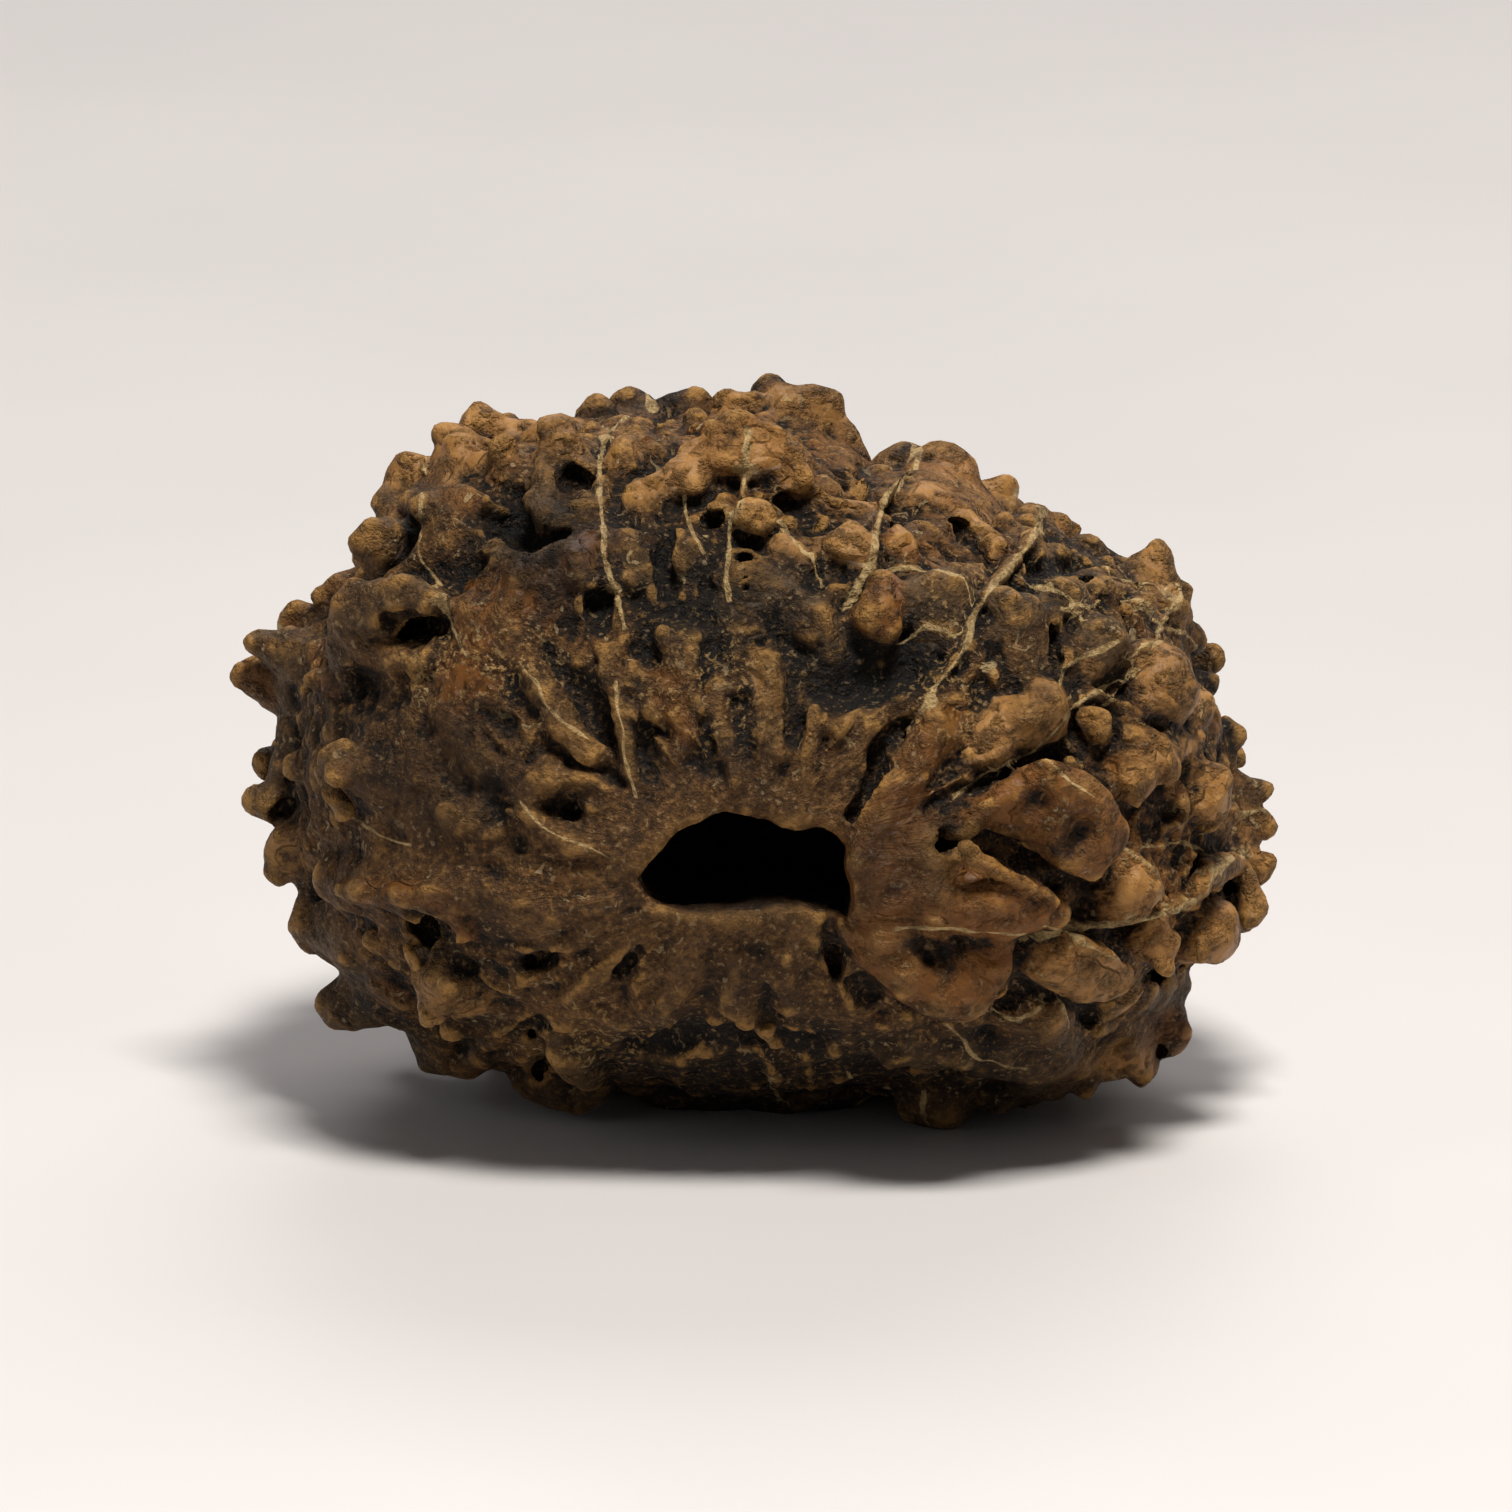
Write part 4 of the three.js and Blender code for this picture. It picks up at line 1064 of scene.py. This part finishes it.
def stone_material():
    m = Nodes("fruit_stone")
    where = m.add("ShaderNodeTexCoord").outputs["Object"]
    tan, amber, grey, soot, cream = (m.attribute(k) for k in ("tan", "amber", "grey", "soot", "cream"))
    side, line, pit, hollow, rise, vary, bore, zone = (m.attribute(k) for k in ("side", "line", "pit", "hollow", "rise", "vary", "bore", "zone"))
    turn, worn_in = m.attribute("turn"), m.attribute("worn")
    coarse = m.noise(where, 420.0, 4.0, 0.6)
    mid = m.noise(where, 1200.0, 5.0, 0.68)
    fine = m.noise(where, 3300.0, 4.0, 0.66)
    tiny = m.noise(where, 9000.0, 2.0, 0.6)
    # Rubbed knobs are smooth, the ground between them is a crust.
    polish = m.math("MULTIPLY", m.math("MAXIMUM", m.math("MAXIMUM", tan, amber), m.math("MULTIPLY", grey, 0.6)), m.ramp(pit, 0.12, -0.05))
    polish = m.math("MULTIPLY", m.math("MAXIMUM", polish, m.math("MULTIPLY", rise, 0.5)), m.ramp(mid, 0.66, 0.48, 0.45, 1.0))
    crust = m.math("SUBTRACT", 1.0, m.math("MULTIPLY", polish, 0.9))
    chipped = crust
    crust = m.math("MULTIPLY", crust, m.ramp(worn_in, 0.0, 1.0, 1.0, 0.55, False))
    # Bare shell: sooty grey-brown to olive brown to a warm rubbed brown, by place and by blotch; in the belt below the
    # knobs the grey-brown is painted shade.
    tone = m.math("ADD", zone, m.ramp(coarse, 0.3, 0.7, -0.5, 0.5, False))
    color = m.mix(m.ramp(tone, -0.8, 0.15), lin(30, 23, 17), lin(92, 63, 32))
    color = m.mix(m.ramp(tone, 0.1, 1.1), color, lin(122, 78, 32))
    # Strands around the hole.
    around = m.add("ShaderNodeAttribute", _attribute_name="around", _attribute_type="GEOMETRY").outputs["Vector"]
    strands = m.math("MULTIPLY", m.attribute("strands"), m.ramp(coarse, 0.38, 0.6, 0.1, 1.0))
    thread = m.noise(around, 21.0, 4.0, 0.65, 0.4)
    color = m.mix(m.math("MULTIPLY", strands, m.ramp(thread, 0.52, 0.70, 0.0, 0.6)), color, lin(122, 92, 56))
    color = m.mix(m.math("MULTIPLY", strands, m.ramp(thread, 0.48, 0.32, 0.0, 0.65)), color, lin(40, 30, 20))
    # Tints of the knobs, uneven in strength.
    uneven = m.ramp(mid, 0.30, 0.62, 0.95, 0.5)
    color = m.mix(m.math("MULTIPLY", grey, uneven), color, lin(76, 58, 36))
    color = m.mix(m.math("MULTIPLY", tan, uneven), color, lin(158, 115, 64))
    color = m.mix(m.math("MULTIPLY", amber, uneven), color, lin(110, 67, 24))
    # Knob to knob, some are deeper; a few glow amber.
    color = m.mix(m.ramp(vary, 0.6, 1.0, 0.0, 0.35), color, lin(56, 38, 20))
    glow = m.math("MULTIPLY", m.math("MULTIPLY", m.math("MAXIMUM", tan, amber), m.ramp(vary, 0.35, 0.0)), m.ramp(coarse, 0.48, 0.62, 0.0, 0.45))
    color = m.mix(glow, color, lin(128, 84, 34))
    # The crust is mottled, with dark stains, pale crumbs and crisp flakes.
    color = m.mix(m.math("MULTIPLY", crust, m.ramp(mid, 0.50, 0.66, 0.0, 0.75)), color, lin(38, 29, 20))
    color = m.mix(m.math("MULTIPLY", m.ramp(crust, 0.0, 1.0, 0.1, 1.0, False), m.ramp(fine, 0.46, 0.34, 0.0, 0.8)), color, lin(28, 21, 15))
    pale = m.math("MULTIPLY", m.ramp(fine, 0.55, 0.63), m.ramp(mid, 0.58, 0.44, 0.15, 1.0))
    color = m.mix(m.math("MULTIPLY", m.math("MULTIPLY", pale, crust), 0.6), color, lin(138, 101, 52))
    chips = m.noise(where, 5200.0, 3.0, 0.6)
    color = m.mix(m.math("MULTIPLY", chipped, m.ramp(chips, 0.47, 0.38, 0.0, 0.6)), color, lin(38, 25, 13))
    color = m.mix(m.math("MULTIPLY", chipped, m.ramp(chips, 0.55, 0.64, 0.0, 0.42)), color, lin(146, 107, 58))
    bits = m.noise(where, 2300.0, 2.0, 0.5, 0.7)
    flake = m.math("MULTIPLY", m.ramp(bits, 0.635, 0.655), m.ramp(coarse, 0.46, 0.58))
    color = m.mix(m.math("MULTIPLY", m.math("MULTIPLY", flake, crust), 0.85), color, lin(176, 152, 110))
    dots = m.add("ShaderNodeTexVoronoi", _feature="F1", Vector=where, Scale=2300.0).outputs["Distance"]
    dots = m.math("MULTIPLY", m.ramp(dots, 0.24, 0.16), m.ramp(mid, 0.56, 0.62))
    color = m.mix(m.math("MULTIPLY", m.math("MULTIPLY", dots, crust), 0.7), color, lin(182, 160, 124))
    # Soot on the dark-tinted knobs and carvings, and painted shade in the hollows, pits and creases where shade falls:
    # these go near black.
    soot_and_shade = m.math("ADD", m.ramp(hollow, 0.0, 0.34), m.ramp(pit, 0.03, 0.36, 0.0, 0.9))
    soot_and_shade = m.math("ADD", soot_and_shade, m.math("ADD", m.math("MULTIPLY", soot, 0.75), m.ramp(turn, 0.09, 0.30, 0.0, 0.55)))
    soot_and_shade = m.math("MULTIPLY", soot_and_shade, m.ramp(mid, 0.30, 0.62, 0.6, 1.2), clamp=True)
    soot_and_shade = m.math("MULTIPLY", soot_and_shade, m.ramp(bits, 0.60, 0.66, 1.0, 0.6))
    color = m.mix(m.math("MULTIPLY", soot_and_shade, m.ramp(chips, 0.40, 0.62, 1.0, 0.72)), color, lin(15, 12, 9))
    # Pale grit, scattered over the surface and kept out of the hole.
    grit = m.math("MULTIPLY", m.ramp(chips, 0.60, 0.65), m.ramp(mid, 0.44, 0.56))
    color = m.mix(m.math("MULTIPLY", m.math("MULTIPLY", grit, m.ramp(bore, 0.8, 0.2)), 0.5), color, lin(140, 122, 94))
    crumb = m.math("MULTIPLY", m.math("MULTIPLY", m.ramp(chips, 0.53, 0.58), m.ramp(mid, 0.42, 0.54)), m.attribute("crumb"))
    # Crests are paler: rubbed wear, and a painted highlight along the sharp crests.
    worn = m.math("MULTIPLY", m.math("ADD", m.ramp(turn, -0.08, -0.25), m.ramp(pit, -0.12, -0.5, 0.0, 0.5), clamp=True), m.ramp(fine, 0.32, 0.60, 0.35, 1.0))
    color = m.mix(m.math("MULTIPLY", worn, 0.7), color, lin(172, 128, 68))
    # Seams.
    swell = m.ramp(m.noise(where, 800.0, 2.0, 0.5), 0.32, 0.66, 0.3, 1.25)
    across = m.math("DIVIDE", m.math("ABSOLUTE", side), swell)
    across = m.math("ADD", across, m.ramp(fine, 0.3, 0.7, -0.5, 0.5, False))
    seam = m.math("MULTIPLY", m.math("MULTIPLY", m.ramp(across, 1.25, 0.8), m.ramp(line, 0.1, 0.5)), m.ramp(mid, 0.66, 0.5, 0.3, 1.0))
    seam = m.math("MAXIMUM", seam, m.math("MULTIPLY", cream, m.ramp(fine, 0.3, 0.6, 0.2, 0.8)))
    # Painted shade and soot: the listed places go near black.
    dim = m.math("MULTIPLY", m.attribute("dim"), m.ramp(coarse, 0.34, 0.62, 1.15, 0.75), clamp=True)
    color = m.mix(dim, color, lin(9, 7, 5))
    color = m.mix(m.math("MULTIPLY", crumb, 0.85), color, lin(160, 128, 78))
    color = m.mix(m.math("MULTIPLY", seam, 0.9), color, m.mix(m.ramp(fine, 0.35, 0.6), lin(134, 109, 69), lin(184, 158, 110)))
    # Painted shade: the inside of the mouth and the bore go near black.
    color = m.mix(bore, color, lin(7, 6, 5))
    rough = m.math("SUBTRACT", m.ramp(mid, 0.3, 0.7, 0.60, 0.76), m.math("MULTIPLY", polish, 0.2), clamp=True)
    height = m.math("ADD", m.math("MULTIPLY", mid, 0.6), m.math("ADD", m.math("MULTIPLY", fine, 0.6), m.math("MULTIPLY", tiny, 0.25)))
    height = m.math("ADD", height, m.math("MULTIPLY", m.math("MULTIPLY", flake, crust), 0.35))
    height = m.math("ADD", m.math("MULTIPLY", height, m.ramp(crust, 0.0, 1.0, 0.07, 1.0, False)), m.math("MULTIPLY", m.math("MULTIPLY", chips, chipped), 0.3))
    height = m.math("ADD", height, m.math("MULTIPLY", strands, m.math("MULTIPLY", thread, 0.5)))
    bump = m.add("ShaderNodeBump", Strength=1.0, Distance=0.0005, Height=height).outputs[0]
    shader = m.add("ShaderNodeBsdfPrincipled", Base_Color=color, Roughness=rough, Normal=bump)
    shader.inputs["Specular IOR Level"].default_value = 0.2
    out = m.add("ShaderNodeOutputMaterial")
    m.tree.links.new(shader.outputs[0], out.inputs[0])
    return m.material


def floor_material():
    m = Nodes("pale_floor")
    where = m.add("ShaderNodeTexCoord").outputs["Object"]
    color = m.mix(m.ramp(m.noise(where, 18.0, 3.0), 0.3, 0.7), lin(214, 211, 209), lin(208, 205, 204))
    shader = m.add("ShaderNodeBsdfPrincipled", Base_Color=color)
    shader.inputs["Roughness"].default_value = 0.42
    out = m.add("ShaderNodeOutputMaterial")
    m.tree.links.new(shader.outputs[0], out.inputs[0])
    return m.material


# ---------------------------------------------------------------------------------------------------------------
# Put together
# ---------------------------------------------------------------------------------------------------------------
field, chains = shape_bead()
mesh = make_bead(field)
points = np.empty(len(mesh.vertices) * 3, np.float32)
mesh.vertices.foreach_get("co", points)
points = points.reshape(-1, 3).astype(np.float64)
mesh.update()
mesh.attributes.new("turn", "FLOAT", "POINT").data.foreach_set("value", bend(mesh, points).astype(np.float32))
around, fade = ring(points)
mesh.attributes.new("around", "FLOAT_VECTOR", "POINT").data.foreach_set("vector", around.astype(np.float32).ravel())
mesh.attributes.new("strands", "FLOAT", "POINT").data.foreach_set("value", fade.astype(np.float32))
for name, values in paint(field, chains, points).items():
    mesh.attributes.new(name, "FLOAT", "POINT").data.foreach_set("value", values.astype(np.float32))
x, y, z = to_obj(points[:, 0], points[:, 1], points[:, 2])
place = np.stack([x / PX + OFFSET[0], y / PX + OFFSET[1], np.maximum(z / PX + OFFSET[2], 0.0)], 1) / 1000.0
mesh.vertices.foreach_set("co", place.astype(np.float32).ravel())
mesh.polygons.foreach_set("use_smooth", np.ones(len(mesh.polygons), bool))
mesh.update()
mesh.name = "bead"
bead = bpy.data.objects.new("bead", mesh)
bpy.context.scene.collection.objects.link(bead)
mesh.materials.clear()
mesh.materials.append(stone_material())
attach(bead, "root")
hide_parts("rudraksha_bead")


def spot(u, v, w):
    p = to_obj(u, v, w)
    return Vector([(c / PX + o) / 1000.0 for c, o in zip(p, OFFSET)])


# Floor
floor_mesh = bpy.data.meshes.new("floor")
floor_mesh.from_pydata([(-3, -3, 0), (3, -3, 0), (3, 3, 0), (-3, 3, 0)], [], [(0, 1, 2, 3)])
floor = bpy.data.objects.new("floor", floor_mesh)
floor_mesh.materials.append(floor_material())
bpy.context.scene.collection.objects.link(floor)

# Camera: long lens, looking down by TILT, so that one millimetre at the bead's middle is PX pixels of a 1512 frame.
FAR = 1.0
cam_data = bpy.data.cameras.new("camera")
cam_data.sensor_width = 36.0
cam_data.lens = 36.0 * FAR * 1000.0 / (1512.0 / PX)
cam_data.clip_start, cam_data.clip_end = 0.05, 20.0
camera = bpy.data.objects.new("camera", cam_data)
target = spot(-2.0, -2.0, 0.0)
camera.location = target + Vector((0.0, -COST, SINT)) * FAR
camera.rotation_euler = (math.pi / 2 - TILT, 0.0, 0.0)
bpy.context.scene.collection.objects.link(camera)
bpy.context.scene.camera = camera


def soft_light(name, where, size, power, color=(1, 1, 1)):
    data = bpy.data.lights.new(name, "AREA")
    data.shape = "RECTANGLE"
    data.size, data.size_y = size
    data.energy = power
    data.color = color
    lamp = bpy.data.objects.new(name, data)
    lamp.location = where
    lamp.rotation_euler = (Vector((0, 0, 0.011)) - Vector(where)).to_track_quat("-Z", "Y").to_euler()
    bpy.context.scene.collection.objects.link(lamp)


soft_light("key", (0.04, -0.10, 0.36), (0.10, 0.09), 1.8, (1.0, 0.96, 0.91))
soft_light("left", (-0.30, -0.14, 0.16), (0.2, 0.2), 0.12, (0.98, 0.98, 1.0))
soft_light("back", (0.05, 0.30, 0.26), (0.3, 0.15), 0.5, (1.0, 0.96, 0.95))
world = bpy.data.worlds.new("studio")
world.use_nodes = True
world.node_tree.nodes["Background"].inputs[0].default_value = (0.9, 0.88, 0.9, 1.0)
world.node_tree.nodes["Background"].inputs[1].default_value = 0.11
bpy.context.scene.world = world
bpy.context.scene.view_settings.view_transform = "Standard"
